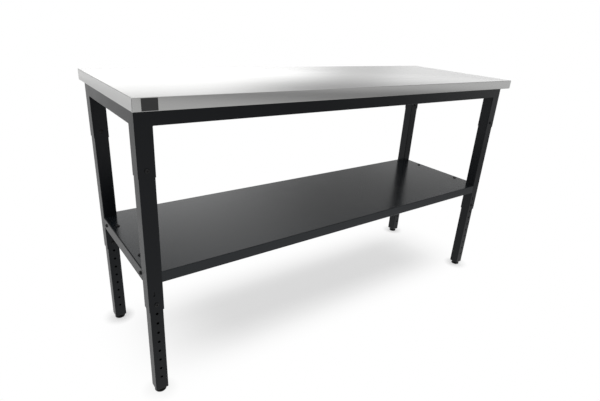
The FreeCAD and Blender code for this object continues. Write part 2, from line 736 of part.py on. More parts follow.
def shelf():
    """The shelf sheet: edges folded down and in at front and back, and a tongue at each end."""
    body = new_body("shelf")
    gauge = "sizes.shelf_gauge"
    low = f"({SHELF_TOP} - sizes.shelf_flange)"
    clear = f"({POST_INNER} + sizes.shelf_post_gap)"
    start = from_side("left", clear)
    stop = from_side("right", clear)
    section = sketch_on(body, "YZ_Plane", "shelf_section", start)
    outline(
        section,
        [
            (f"({SHELF_FRONT} + sizes.shelf_lip)", low),
            (SHELF_FRONT, low),
            (SHELF_FRONT, SHELF_TOP),
            (SHELF_BACK, SHELF_TOP),
            (SHELF_BACK, low),
            (f"({SHELF_BACK} - sizes.shelf_lip)", low),
            (f"({SHELF_BACK} - sizes.shelf_lip)", f"({low} + {gauge})"),
            (f"({SHELF_BACK} - {gauge})", f"({low} + {gauge})"),
            (f"({SHELF_BACK} - {gauge})", SHELF_UNDER),
            (f"({SHELF_FRONT} + {gauge})", SHELF_UNDER),
            (f"({SHELF_FRONT} + {gauge})", f"({low} + {gauge})"),
            (f"({SHELF_FRONT} + sizes.shelf_lip)", f"({low} + {gauge})"),
        ],
    )
    pad(body, section, f"{stop} - {start}")

    def at_bend(edge, inset):
        if not runs_along(edge, X_AXIS):
            return False
        middle = edge.CenterOfMass
        at_edge = near(middle.y, f"{SHELF_FRONT} + {inset}") or near(middle.y, f"{SHELF_BACK} - {inset}")
        at_level = near(middle.z, f"{SHELF_TOP} - {inset}") or near(middle.z, f"{low} + {inset}")
        return at_edge and at_level

    dress(body, "Fillet", "sizes.shelf_bend", lambda edge: at_bend(edge, "0"))
    inside = f"max(sizes.shelf_bend - {gauge}; sizes.sharp_corner)"
    dress(body, "Fillet", inside, lambda edge: at_bend(edge, gauge))
    tongue_front = from_end("front", clear)
    tongue_back = from_end("back", clear)
    for side, root in (("left", start), ("right", stop)):
        tongue = sketch_on(body, "XY_Plane", f"shelf_tongue_{side}", SHELF_UNDER)
        tip = from_side(side, f"({POST_INSET} + sizes.shelf_end_inset)")
        left, right = sorted((tip, root), key=value)
        rectangle(tongue, left, right, tongue_front, tongue_back)
        pad(body, tongue, gauge)
    holes = sketch_on(body, "XY_Plane", "shelf_screw_holes", SHELF_TOP)
    for across, up in shelf_screw_places():
        circle(holes, "sizes.screw_hole", across, up)
    pocket(body, holes, f"{gauge} * 2")
    return body


def shelf_screw_places():
    half = "sizes.shelf_screw_spacing / 2"
    return [(LEG_X[side], f"({SHELF_MIDDLE} {sign} {half})") for side in SIDES for sign in "-+"]


def shelf_stiffener():
    """A hat section under the middle of the shelf."""
    body = new_body("shelf_stiffener")
    start = from_side("left", f"({POST_INNER} + sizes.stiffener_end_gap)")
    stop = from_side("right", f"({POST_INNER} + sizes.stiffener_end_gap)")
    gauge = "sizes.stiffener_gauge"
    crown = "sizes.stiffener_crown / 2"
    brim = f"({crown} + sizes.stiffener_flange)"
    bottom = f"({SHELF_UNDER} - sizes.stiffener_depth)"
    underside = f"({SHELF_UNDER} - {gauge})"
    half_section = [
        (brim, SHELF_UNDER),
        (f"({crown} - {gauge})", SHELF_UNDER),
        (f"({crown} - {gauge})", f"({bottom} + {gauge})"),
    ]
    outer_half = [(crown, bottom), (crown, underside), (brim, underside)]
    right = [(f"({SHELF_MIDDLE} + {y})", z) for y, z in half_section]
    left = [(f"({SHELF_MIDDLE} - {y})", z) for y, z in reversed(half_section)]
    lower_left = [(f"({SHELF_MIDDLE} - {y})", z) for y, z in reversed(outer_half)]
    lower_right = [(f"({SHELF_MIDDLE} + {y})", z) for y, z in outer_half]
    section = sketch_on(body, "YZ_Plane", "stiffener_section", start)
    outline(section, right + left + lower_left + lower_right)
    pad(body, section, f"{stop} - {start}")
    return body


def end_rail(side):
    """A channel open below, between the front and back posts, under the end of the shelf."""
    label = f"shelf_end_rail_{side}"
    body = new_body(label)
    gauge = "sizes.end_rail_gauge"
    faces = [from_side(side, POST_INSET), from_side(side, POST_INNER)]
    left, right = sorted(faces, key=value)
    front = from_end("front", f"({POST_INNER} + sizes.end_rail_gap)")
    back = from_end("back", f"({POST_INNER} + sizes.end_rail_gap)")
    section = sketch_on(body, "XZ_Plane", f"{label}_section", f"-{back}")
    web = f"({SHELF_UNDER} - {gauge})"
    outline(
        section,
        [
            (left, END_RAIL_BOTTOM),
            (left, SHELF_UNDER),
            (right, SHELF_UNDER),
            (right, END_RAIL_BOTTOM),
            (f"({right} - {gauge})", END_RAIL_BOTTOM),
            (f"({right} - {gauge})", web),
            (f"({left} + {gauge})", web),
            (f"({left} + {gauge})", END_RAIL_BOTTOM),
        ],
    )
    pad(body, section, f"{back} - {front}")

    def at_bend(edge, inset):
        middle = edge.CenterOfMass
        at_face = near(middle.x, f"{left} + {inset}") or near(middle.x, f"{right} - {inset}")
        return runs_along(edge, Y_AXIS) and at_face and near(middle.z, f"{SHELF_UNDER} - {inset}")

    dress(body, "Fillet", "sizes.end_rail_bend", lambda edge: at_bend(edge, "0"))
    inside = f"max(sizes.end_rail_bend - {gauge}; sizes.sharp_corner)"
    dress(body, "Fillet", inside, lambda edge: at_bend(edge, gauge))
    shelf_holes = sketch_on(body, "XY_Plane", f"{label}_shelf_holes", SHELF_UNDER)
    for sign in "-+":
        middle = f"({SHELF_MIDDLE} {sign} sizes.shelf_screw_spacing / 2)"
        circle(shelf_holes, "sizes.screw_hole", LEG_X[side], middle)
    pocket(body, shelf_holes, f"{gauge} * 2")
    outer = from_side(side, POST_INSET)
    side_holes = sketch_on(body, "YZ_Plane", f"{label}_side_holes", outer)
    for place in rail_screw_rows():
        circle(side_holes, "sizes.screw_hole", place, RAIL_SCREW_LEVEL)
    pocket(body, side_holes, f"{gauge} * 2", backwards=(side == "left"))
    return body


def rail_screw_rows():
    """The Y of the two screws that hold an end rail to its brackets."""
    return [from_end(end, f"({POST_INNER} + sizes.rail_screw_{end}_inset)") for end in ENDS]


def bracket(side, end):
    """An angle on the post, inside the end rail: one leg lies on the post, the other on the rail."""
    label = f"rail_bracket_{end}_{side}"
    body = new_body(label)
    plate = "sizes.bracket_thickness"
    outer = f"({POST_INSET} + sizes.end_rail_gauge)"
    tip = f"({POST_INNER} + sizes.rail_screw_{end}_inset + sizes.bracket_margin)"
    corners = [
        (outer, POST_INNER),
        (f"({outer} + sizes.bracket_width)", POST_INNER),
        (f"({outer} + sizes.bracket_width)", f"({POST_INNER} + {plate})"),
        (f"({outer} + {plate})", f"({POST_INNER} + {plate})"),
        (f"({outer} + {plate})", tip),
        (outer, tip),
    ]
    plan = sketch_on(body, "XY_Plane", f"{label}_plan", f"({RAIL_SCREW_LEVEL} - sizes.bracket_height / 2)")
    outline(plan, [(from_side(side, x), from_end(end, y)) for x, y in corners])
    pad(body, plan, "sizes.bracket_height")
    hole = sketch_on(body, "YZ_Plane", f"{label}_hole", from_side(side, outer))
    row = rail_screw_rows()[ENDS.index(end)]
    circle(hole, "sizes.screw_hole", row, RAIL_SCREW_LEVEL)
    pocket(body, hole, f"{plate} * 2", backwards=(side == "left"))
    return body


# ---------------------------------------------------------------- screws and nuts


def screw(name, shank, head, head_height, socket, length):
    """A button-head screw: the head's underside is at the origin and the head points to +Z."""
    body = new_body(name)
    section = sketch_on(body, "XZ_Plane", f"{name}_section")
    end = "sizes.screw_end / 2"
    outline(
        section,
        [
            ("0", f"-{length}"),
            (f"({shank} - {end})", f"-{length}"),
            (shank, f"-({length} - {end})"),
            (shank, "0"),
            (head, "0"),
            (head, f"({head_height} - sizes.head_chamfer_height)"),
            (f"({head} - sizes.head_chamfer_width)", head_height),
            ("0", head_height),
        ],
    )
    revolution(body, section)
    recess = sketch_on(body, "XY_Plane", f"{name}_socket", head_height)
    hexagon(recess, socket)
    pocket(body, recess, f"{head_height} * sizes.socket_share")
    return body


def nut(name, flats, height, hole):
    """A hexagon nut that stands on the origin and rises along +Z."""
    body = new_body(name)
    plan = sketch_on(body, "XY_Plane", f"{name}_plan")
    hexagon(plan, flats)
    circle(plan, hole)
    pad(body, plan, height)
    return body


def group(label, pattern, places):
    """Copies of one fastener as one node, each place given with the way the fastener is turned."""
    copies = []
    for index, (place, rotation) in enumerate(places, start=1):
        copy = doc.addObject("App::Link", f"{label}_{index}")
        copy.LinkedObject = pattern
        copy.Placement = FreeCAD.Placement(FreeCAD.Vector(), rotation)
        for axis, expression in zip("xyz", place):
            copy.setExpression(f"Placement.Base.{axis}", expression)
        copies.append(copy)
    node = doc.addObject("Part::Compound", label)
    node.Label = label
    node.Links = copies
    return node


HEAD_TO_FRONT = FreeCAD.Rotation(X_AXIS, 90)
HEAD_UP = FreeCAD.Rotation()
HEAD_DOWN = FreeCAD.Rotation(X_AXIS, 180)
HEAD_OUTWARDS = {"left": FreeCAD.Rotation(Y_AXIS, -90), "right": FreeCAD.Rotation(Y_AXIS, 90)}


def at_legs(inset, level):
    """One place at each leg, this far behind the sleeve's front face."""
    return [
        ((LEG_X[side], f"({LEG_Y[end]} - sizes.sleeve_side / 2 + {inset})", level), HEAD_TO_FRONT)
        for side in SIDES
        for end in ENDS
    ]


def at_shelf(level):
    return [((across, up, level), HEAD_UP) for across, up in shelf_screw_places()]


def at_end_rails(inset):
    """One place at each end of both end rails, this far inside the rail's outer face."""
    return [
        ((from_side(side, f"({POST_INSET} + {inset})"), row, RAIL_SCREW_LEVEL), HEAD_OUTWARDS[side])
        for side in SIDES
        for row in rail_screw_rows()
    ]


def table_fasteners():
    """The M8 screws of the sleeves, the shelf and the end rails, the lock bolts, and their nuts."""
    sides = ("sizes.screw_shank", "sizes.screw_head", "sizes.screw_head_height", "sizes.screw_socket")
    height = "sizes.nut_height"
    m8_nut = nut("nut_pattern", "sizes.nut_flats", height, "sizes.screw_shank + sizes.thread_clearance")
    wall = f"({POST_INSET} + sizes.post_wall)"
    sleeve_screw = screw("sleeve_screw_pattern", *sides, f"({wall} + {height})")
    yield group("sleeve_screws", sleeve_screw, at_legs("0", SLEEVE_SCREW_LEVEL))
    yield group("sleeve_screw_nuts", m8_nut, at_legs(f"({wall} + {height})", SLEEVE_SCREW_LEVEL))
    lock_bolt = screw("lock_bolt_pattern", *sides, f"({POST_SIDE} + {height} + sizes.screw_end)")
    yield group("lock_bolts", lock_bolt, at_legs(POST_INSET, LOCK_LEVEL))
    yield group("lock_bolt_nuts", m8_nut, at_legs(f"({POST_INNER} + {height})", LOCK_LEVEL))
    sheets = "(sizes.shelf_gauge + sizes.end_rail_gauge)"
    shelf_screw = screw("shelf_screw_pattern", *sides, f"({sheets} + {height} + sizes.screw_end)")
    yield group("shelf_screws", shelf_screw, at_shelf(SHELF_TOP))
    yield group("shelf_screw_nuts", m8_nut, at_shelf(f"({SHELF_TOP} - {sheets} - {height})"))
    seat = f"(sizes.end_rail_gauge + sizes.bracket_thickness + {height})"
    rail_screw = screw("rail_screw_pattern", *sides, f"({seat} + sizes.screw_end)")
    yield group("rail_screws", rail_screw, at_end_rails("0"))
    yield group("rail_screw_nuts", m8_nut, at_end_rails(seat))


def worktop_screws():
    """The wood screws that rise through the gussets into the board."""
    sides = ("sizes.wood_shank", "sizes.wood_head", "sizes.wood_head_height", "sizes.wood_socket")
    wood_screw = screw("wood_screw_pattern", *sides, "sizes.wood_grip")
    seat = f"({UNDERSIDE} - sizes.gusset_thickness)"
    places = [((across, up, seat), HEAD_DOWN) for across, up in gusset_screw_places()]
    return group("worktop_screws", wood_screw, places)


# ---------------------------------------------------------------- the whole table


def build():
    """Every sub-part of the table, in the order it would be put together."""
    pieces = [worktop_skin(), worktop_board()]
    pieces += [long_rail(end) for end in ENDS]
    pieces += list(end_rails_of_top())
    pieces.append(cross_rail())
    for side in SIDES:
        for end in ENDS:
            pieces.append(gusset(side, end))
            pieces.append(sleeve(side, end))
            pieces.append(sleeve_cap(side, end))
            pieces.append(post(side, end))
            pieces.append(sliding_leg(side, end))
            pieces.append(leg_plug(side, end))
            pieces.append(lock_nut(side, end))
            pieces.append(foot_stem(side, end))
            pieces.append(foot_pad(side, end))
            pieces.append(bracket(side, end))
    pieces += [shelf(), shelf_stiffener()]
    pieces += [end_rail(side) for side in SIDES]
    pieces += list(table_fasteners())
    pieces.append(worktop_screws())
    return pieces


def check(pieces):
    """Stops the build if an object failed or a cut or pad changed nothing."""
    for item in doc.Objects:
        if {"Invalid", "Error"} & set(item.State):
            raise RuntimeError(f"{item.Label}: {item.State}")
        if item.TypeId == "PartDesign::Pocket" and item.BaseFeature.Shape.Volume <= item.Shape.Volume:
            raise RuntimeError(f"{item.Label} cuts nothing")
        if item.TypeId == "PartDesign::Pad" and item.BaseFeature is not None:
            if item.BaseFeature.Shape.Volume >= item.Shape.Volume:
                raise RuntimeError(f"{item.Label} adds nothing")
    for piece in pieces:
        if piece.Shape.isNull() or not piece.Shape.isValid():
            raise RuntimeError(f"{piece.Label} has no valid shape")


table = build()
doc.recompute()
check(table)
os.makedirs("parts", exist_ok=True)
for sub_part in table:
    sub_part.Shape.exportStep(f"parts/{sub_part.Label}.step")
    solids = len(sub_part.Shape.Solids)
    print(f"{sub_part.Label}: {solids} solid(s), {sub_part.Shape.Volume / 1000:.1f} cm3")
whole = Part.makeCompound([sub_part.Shape for sub_part in table]).BoundBox
print(f"{len(table)} nodes, {whole.XLength:.1f} x {whole.YLength:.1f} x {whole.ZLength:.1f} mm")
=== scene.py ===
import math

import bmesh
import bpy
from mathutils import Matrix, Vector


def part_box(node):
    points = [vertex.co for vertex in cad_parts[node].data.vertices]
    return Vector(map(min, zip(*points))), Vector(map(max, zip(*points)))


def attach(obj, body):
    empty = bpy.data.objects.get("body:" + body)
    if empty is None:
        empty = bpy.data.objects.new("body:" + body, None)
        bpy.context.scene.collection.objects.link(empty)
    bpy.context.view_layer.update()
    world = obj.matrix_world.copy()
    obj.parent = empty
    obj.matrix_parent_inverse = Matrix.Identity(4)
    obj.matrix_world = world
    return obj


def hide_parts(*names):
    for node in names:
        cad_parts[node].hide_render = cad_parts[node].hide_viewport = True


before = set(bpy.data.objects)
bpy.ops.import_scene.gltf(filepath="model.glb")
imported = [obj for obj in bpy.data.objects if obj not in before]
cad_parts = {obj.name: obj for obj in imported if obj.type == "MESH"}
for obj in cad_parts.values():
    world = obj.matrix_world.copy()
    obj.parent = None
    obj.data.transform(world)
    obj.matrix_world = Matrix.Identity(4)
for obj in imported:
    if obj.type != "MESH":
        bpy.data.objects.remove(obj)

bl_info = {
    "name": "Assembly table",
    "version": (1, 0, 0),
    "blender": (4, 5, 0),
    "location": "View3D > Sidebar > Table",
    "description": "Dresses an assembly table: steel worktop, powder-coated frame, screws and feet",
    "category": "Add Mesh",
}

SIDES = ("left", "right")
ENDS = ("front", "back")
LEGS = [f"{end}_{side}" for side in SIDES for end in ENDS]
TABLE = "table"

# Fasteners, in metres. Shanks, heads and bores are radii. Sockets and flats are across the flats.
M8_SCREW = {"shank": 0.004, "head": 0.007, "height": 0.0044, "socket": 0.005}
WOOD_SCREW = {"shank": 0.0022, "head": 0.0048, "height": 0.0026, "socket": 0.003}
M8_NUT = {"flats": 0.013, "height": 0.0065, "bore": 0.00405}
M8_LOCK_NUT = {**M8_NUT, "height": 0.004}

# Points closer than MERGE become one, and levels or radii closer than SAME are equal.
MERGE = 1e-6
SAME = 1e-7

# Faces that meet at more than this angle have a sharp edge between them.
SHARP = math.radians(32)

# Where the two wood screws of a corner stand, in along X and Y from the sleeve's outer corner.
GUSSET_HOLES = ((0.084, 0.037), (0.037, 0.084))

# The hairline seams of the worktop's corners.
SEAM_WIDTH = 0.00035
SEAM_DEPTH = 0.0005

# The lamp over the table.
LAMP_SIZE = (3.2, 1.8)
LAMP_PLACE = (0.1, -0.05, 3.4)


# ---------------------------------------------------------------- sizes and colours


class SteelLook(bpy.types.PropertyGroup):
    """The stainless sheet of the worktop."""

    colour: bpy.props.FloatVectorProperty(
        name="Steel colour",
        description="Colour of the polished sheet",
        subtype="COLOR",
        size=3,
        min=0,
        max=1,
        default=(0.57, 0.57, 0.565),
    )
    roughness: bpy.props.FloatProperty(
        name="Roughness",
        description="Mean roughness of the brushed face",
        min=0,
        max=1,
        default=0.24,
    )
    gauge: bpy.props.FloatProperty(
        name="Gauge",
        description="Thickness of the sheet",
        unit="LENGTH",
        min=0.0003,
        default=0.0012,
    )
    bend: bpy.props.FloatProperty(
        name="Bend",
        description="Outside radius of the folds",
        unit="LENGTH",
        min=0.0003,
        default=0.0020,
    )
    lip: bpy.props.FloatProperty(
        name="Lip",
        description="Width of the lip under the board",
        unit="LENGTH",
        min=0.001,
        default=0.022,
    )


class PlateLook(bpy.types.PropertyGroup):
    """The blank plate set into the front edge of the worktop."""

    left: bpy.props.FloatProperty(
        name="Distance from the end",
        description="From the left end of the worktop to the plate",
        unit="LENGTH",
        default=0.024,
    )
    width: bpy.props.FloatProperty(
        name="Width", description="Width of the plate", unit="LENGTH", min=0.001, default=0.045
    )
    height: bpy.props.FloatProperty(
        name="Height", description="Height of the plate", unit="LENGTH", min=0.001, default=0.034
    )
    drop: bpy.props.FloatProperty(
        name="Drop",
        description="From the top of the worktop to the plate",
        unit="LENGTH",
        default=0.0022,
    )
    depth: bpy.props.FloatProperty(
        name="Depth",
        description="Depth of the recess that holds the plate",
        unit="LENGTH",
        default=0.0004,
    )


class CoatLook(bpy.types.PropertyGroup):
    """The powder coats of the frame and the shelf."""

    frame_colour: bpy.props.FloatVectorProperty(
        name="Frame colour",
        description="Colour of the tubes",
        subtype="COLOR",
        size=3,
        min=0,
        max=1,
        default=(0.0040, 0.0047, 0.0066),
    )
    shelf_colour: bpy.props.FloatVectorProperty(
        name="Shelf colour",
        description="Colour of the shelf sheet",
        subtype="COLOR",
        size=3,
        min=0,
        max=1,
        default=(0.0096, 0.0122, 0.0152),
    )
    frame_roughness: bpy.props.FloatProperty(
        name="Frame roughness", description="Mean roughness of the tubes", min=0, max=1, default=0.3
    )
    shelf_roughness: bpy.props.FloatProperty(
        name="Shelf roughness",
        description="Mean roughness of the shelf",
        min=0,
        max=1,
        default=0.19,
    )


class HardwareLook(bpy.types.PropertyGroup):
    """Screws, nuts and feet."""

    pitch: bpy.props.FloatProperty(
        name="Thread pitch",
        description="Pitch of the M8 threads",
        unit="LENGTH",
        min=0.0002,
        default=0.00125,
    )
    thread_depth: bpy.props.FloatProperty(
        name="Thread depth",
        description="Depth of the M8 threads",
        unit="LENGTH",
        min=0,
        default=0.0006,
    )
    bead: bpy.props.FloatProperty(
        name="Weld bead",
        description="Radius of the frame's weld beads",
        unit="LENGTH",
        min=0,
        default=0.0022,
    )
    ripple: bpy.props.FloatProperty(
        name="Bead ripple",
        description="Distance between weld ripples",
        unit="LENGTH",
        min=0.0005,
        default=0.002,
    )


class StudioLook(bpy.types.PropertyGroup):
    """The floor, the lights and the camera."""

    floor: bpy.props.FloatProperty(
        name="Floor size", description="Side of the floor", unit="LENGTH", min=1, default=60.0
    )
    surround: bpy.props.FloatProperty(
        name="Surround", description="Brightness of the soft light all round", min=0, default=0.5
    )
    lamp: bpy.props.FloatProperty(
        name="Overhead lamp",
        description="Power of the lamp above the table",
        unit="POWER",
        min=0,
        default=46.0,
    )
    shade: bpy.props.FloatProperty(
        name="Shadow share",
        description="How much the floor under the table darkens, from plain white at 0",
        min=0,
        max=1,
        default=0.58,
    )


# ---------------------------------------------------------------- materials


class Value:
    """An output in a node tree. Arithmetic on it adds Math nodes."""

    def __init__(self, shading, link):
        self.shading = shading
        self.link = link

    def math(self, operation, *values):
        """A Math node on numbers and values."""
        sockets = dict(enumerate(values))
        return self.shading.node("ShaderNodeMath", {"operation": operation}, sockets)

    def __add__(self, other):
        return self.math("ADD", self, other)

    def __sub__(self, other):
        return self.math("SUBTRACT", self, other)

    def __rsub__(self, other):
        return self.math("SUBTRACT", other, self)

    def __mul__(self, other):
        return self.math("MULTIPLY", self, other)

    def __abs__(self):
        return self.math("ABSOLUTE", self)

    __radd__ = __add__
    __rmul__ = __mul__

    def spread(self, low, high, new_low, new_high):
        """This value, moved smoothly from one range to another."""
        settings = {"interpolation_type": "SMOOTHSTEP"}
        sockets = {0: self, 1: low, 2: high, 3: new_low, 4: new_high}
        return self.shading.node("ShaderNodeMapRange", settings, sockets)


class Shading:
    """The node tree of a material or a world."""

    def __init__(self, owner):
        owner.use_nodes = True
        self.tree = owner.node_tree
        self.tree.nodes.clear()

    def node(self, kind, settings=None, sockets=None, output=0):
        """Adds a node, sets it and its inputs, and gives one of its outputs."""
        node = self.tree.nodes.new(kind)
        for name, value in (settings or {}).items():
            setattr(node, name, value)
        for name, value in (sockets or {}).items():
            if isinstance(value, Value):
                self.tree.links.new(value.link, node.inputs[name])
            else:
                node.inputs[name].default_value = value
        return Value(self, node.outputs[output]) if node.outputs else None

    def place(self, scale=(1, 1, 1)):
        """Object coordinates in metres, stretched."""
        where = self.node("ShaderNodeTexCoord", output="Object")
        return self.node("ShaderNodeMapping", {}, {"Vector": where, "Scale": scale})

    def axes(self, output="Object"):
        """The X, Y and Z of a kind of coordinates."""
        where = self.node("ShaderNodeTexCoord", output=output)
        x = self.node("ShaderNodeSeparateXYZ", {}, {0: where})
        return [Value(self, axis) for axis in x.link.node.outputs]

    def noise(self, scale, detail=2.0, roughness=0.5, stretch=(1, 1, 1)):
        """Noise in object coordinates. The lower the stretch on an axis, the longer its streaks."""
        sockets = {"Scale": scale, "Detail": detail, "Roughness": roughness}
        return self.node("ShaderNodeTexNoise", {}, {"Vector": self.place(stretch), **sockets})

    def mix(self, share, first, second):
        """A mix of two colours."""
        sockets = {0: share, 6: first, 7: second}
        return self.node("ShaderNodeMix", {"data_type": "RGBA"}, sockets, output=2)

    def bump(self, height, distance, strength=1.0):
        """A normal that follows a height, with the distance in metres."""
        sockets = {"Height": height, "Distance": distance, "Strength": strength}
        return self.node("ShaderNodeBump", {}, sockets)

    def principled(self, **sockets):
        """Ends the material. Spaces in the sockets' names are written as underscores."""
        names = {name.replace("_", " "): value for name, value in sockets.items()}
        shader = self.node("ShaderNodeBsdfPrincipled", {}, names)
        self.node("ShaderNodeOutputMaterial", {}, {"Surface": shader})


def new_material(name):
    """A material and its empty node tree."""
    material = bpy.data.materials.new(name)
    return material, Shading(material)


def rgba(colour, gain=1.0):
    """A colour with full alpha, made lighter or darker."""
    return (*[min(1.0, channel * gain) for channel in colour], 1.0)


def steel_material(look):
    """Brushed stainless: grain along the length, soft rolling waves and ground ends."""
    material, shading = new_material("brushed_stainless")
    grain = shading.noise(900, 3, 0.6, (0.006, 1, 1))
    band = shading.noise(38, 2, 0.5, (0.05, 1, 0.4))
    wave = shading.noise(2.4, 1, 0.4, (1, 0.6, 0.2))
    along, _, _ = shading.axes()
    ground = abs(along).spread(0.8955, 0.8972, 0, 1)
    tone = grain * 0.5 + band * 0.5
    colour = shading.mix(tone, rgba(look.colour, 0.95), rgba(look.colour, 1.05))
    colour = shading.mix(ground * 0.6, colour, rgba(look.colour, 1.2))
    shading.principled(
        Base_Color=colour,
        Metallic=1.0,
        Roughness=look.roughness - 0.05 + tone * 0.1 + ground * 0.12,
        Normal=shading.bump(wave * 0.9 + grain * 0.05, 0.0006, 0.5),
    )
    return material


def coat_material(name, colour, roughness, level, peel=0.00006):
    """Powder coat: a fine orange peel with slight changes of gloss and tone."""
    material, shading = new_material(name)
    fine = shading.noise(1100, 2, 0.5)
    broad = shading.noise(14, 3, 0.5)
    dust = shading.noise(420, 1, 0.4).spread(0.68, 0.76, 0, 1)
    tone = shading.mix(broad, rgba(colour, 0.86), rgba(colour, 1.14))
    tone = shading.mix(dust * 0.12, tone, rgba([channel + 0.06 for channel in colour]))
    shading.principled(
        Base_Color=tone,
        Roughness=roughness - 0.04 + broad * 0.08 + fine * 0.03,
        Specular_IOR_Level=level,
        Specular_Tint=(0.95, 0.98, 1.0, 1.0),
        Normal=shading.bump(fine, peel, 0.7),
    )
    return material


def zinc_material():
    """Bright zinc plate with a faint yellow cast and small clouds."""
    material, shading = new_material("zinc_plate")
    cloud = shading.noise(260, 3, 0.6)
    colour = shading.mix(cloud, (0.5, 0.5, 0.49, 1), (0.68, 0.67, 0.62, 1))
    shading.principled(Base_Color=colour, Metallic=1.0, Roughness=0.24 + cloud * 0.18)
    return material


def oxide_material():
    """Black-coated screws and nuts."""
    material, shading = new_material("black_oxide")
    cloud = shading.noise(500, 3, 0.6)
    colour = shading.mix(cloud, (0.007, 0.007, 0.008, 1), (0.014, 0.014, 0.015, 1))
    shading.principled(
        Base_Color=colour,
        Roughness=0.3 + cloud * 0.16,
        Specular_IOR_Level=0.3,
        Normal=shading.bump(cloud, 0.00003, 0.6),
    )
    return material


def plastic_material():
    """Moulded black plastic with a fine spark-eroded grain."""
    material, shading = new_material("moulded_plastic")
    grain = shading.noise(1800, 2, 0.6)
    colour = shading.mix(grain, (0.012, 0.012, 0.012, 1), (0.022, 0.022, 0.022, 1))
    shading.principled(
        Base_Color=colour, Roughness=0.46 + grain * 0.16, Normal=shading.bump(grain, 0.00005, 0.8)
    )
    return material


def board_material():
    """Raw fibreboard: pale brown, with fibres and darker flecks."""
    material, shading = new_material("fibreboard")
    fibre = shading.noise(700, 4, 0.7, (0.4, 1, 1))
    fleck = shading.noise(260, 2, 0.6).spread(0.6, 0.7, 0, 1)
    cloud = shading.noise(6, 2, 0.5)
    colour = shading.mix(cloud * 0.4 + fibre * 0.6, (0.30, 0.19, 0.10, 1), (0.46, 0.32, 0.19, 1))
    colour = shading.mix(fleck * 0.5, colour, (0.17, 0.10, 0.05, 1))
    shading.principled(Base_Color=colour, Roughness=0.8, Normal=shading.bump(fibre, 0.0001, 0.6))
    return material


def plate_material():
    """Satin black plate, finely brushed."""
    material, shading = new_material("blank_plate")
    grain = shading.noise(1600, 2, 0.5, (0.05, 1, 1))
    colour = shading.mix(grain, (0.028, 0.028, 0.029, 1), (0.046, 0.046, 0.048, 1))
    shading.principled(
        Base_Color=colour, Roughness=0.3 + grain * 0.12, Normal=shading.bump(grain, 0.00002)
    )
    return material


def finish(name):
    """A material that has been made, by its name."""
    return bpy.data.materials[name]


# ---------------------------------------------------------------- making pieces


def make_piece(name, mesh_data, material, body=TABLE, nodes=()):
    """Turns a bmesh into a piece that rides on a body and stands for CAD nodes."""
    for face in mesh_data.faces:
        face.smooth = True
    mesh = bpy.data.meshes.new(name)
    mesh_data.to_mesh(mesh)
    mesh_data.free()
    mesh.set_sharp_from_angle(angle=SHARP)
    mesh.materials.append(finish(material))
    piece = bpy.data.objects.new(name, mesh)
    bpy.context.scene.collection.objects.link(piece)
    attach(piece, body)
    if nodes:
        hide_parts(*nodes)
    return piece


def paint_nodes(material, names):
    """Gives CAD nodes that keep their own shape a material."""
    for name in names:
        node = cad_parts[name]
        node.data.materials.clear()
        node.data.materials.append(finish(material))


def copies(part, places):
    """A bmesh with a part at each place. The part itself is freed."""
    mesh = bpy.data.meshes.new("copy")
    part.to_mesh(mesh)
    part.free()
    whole = bmesh.new()
    for place in places:
        first = len(whole.verts)
        whole.from_mesh(mesh)
        whole.verts.ensure_lookup_table()
        bmesh.ops.transform(whole, matrix=place, verts=whole.verts[first:])
    bpy.data.meshes.remove(mesh)
    return whole


def joined(parts):
    """One bmesh from several, which are freed."""
    whole = bmesh.new()
    for part in parts:
        mesh = bpy.data.meshes.new("part")
        part.to_mesh(mesh)
        part.free()
        whole.from_mesh(mesh)
        bpy.data.meshes.remove(mesh)
    return whole


def picked(items, kind):
    """The vertices, edges or faces among what an operator made."""
    return [item for item in items if isinstance(item, kind)]


def block(size, centre=(0, 0, 0)):
    """A box of a size round a centre."""
    part = bmesh.new()
    bmesh.ops.create_cube(part, size=1)
    bmesh.ops.scale(part, vec=size, verts=part.verts)
    bmesh.ops.translate(part, vec=centre, verts=part.verts)
    return part


def bevel(part, edges, radius, segments):
    """Rounds edges."""
    bmesh.ops.bevel(
        part,
        geom=edges,
        offset=radius,
        offset_type="OFFSET",
        segments=segments,
        profile=0.5,
        affect="EDGES",
        material=-1,
    )


def lathe(profile, steps=24, ring=False):
    """A closed solid spun about Z from (radius, height) points.

    The points start and end on the axis, or make a ring round the section of a hollow solid.
    """
    part = bmesh.new()
    points = [part.verts.new((radius, 0, height)) for radius, height in profile]
    pairs = list(zip([points[-1], *points[:-1]], points))
    edges = [part.edges.new(pair) for pair in (pairs if ring else pairs[1:])]
    bmesh.ops.spin(
        part,
        geom=points + edges,
        cent=(0, 0, 0),
        axis=(0, 0, 1),
        angle=math.tau,
        steps=steps,
        use_merge=True,
    )
    bmesh.ops.remove_doubles(part, verts=part.verts, dist=MERGE)
    bmesh.ops.recalc_face_normals(part, faces=part.faces)
    return part


def make_hexagonal(part, flats, low, high, radius):
    """Moves the rings of one radius between two heights onto a hexagon."""
    for vert in part.verts:
        reach = vert.co.xy.length
        if low - SAME <= vert.co.z <= high + SAME and abs(reach - radius) < SAME:
            turn = math.atan2(vert.co.y, vert.co.x) % (math.pi / 3) - math.pi / 6
            scale = flats / 2 / math.cos(turn) / reach
            vert.co.x *= scale
            vert.co.y *= scale


def arc(centre_radius, centre_height, radius, rise, start, stop, count):
    """Points of an elliptic arc in the half section, angles in degrees from the radius axis."""
    points = []
    for step in range(count + 1):
        turn = math.radians(start + (stop - start) * step / count)
        point = (centre_radius + radius * math.cos(turn), centre_height + rise * math.sin(turn))
        points.append(point)
    return points


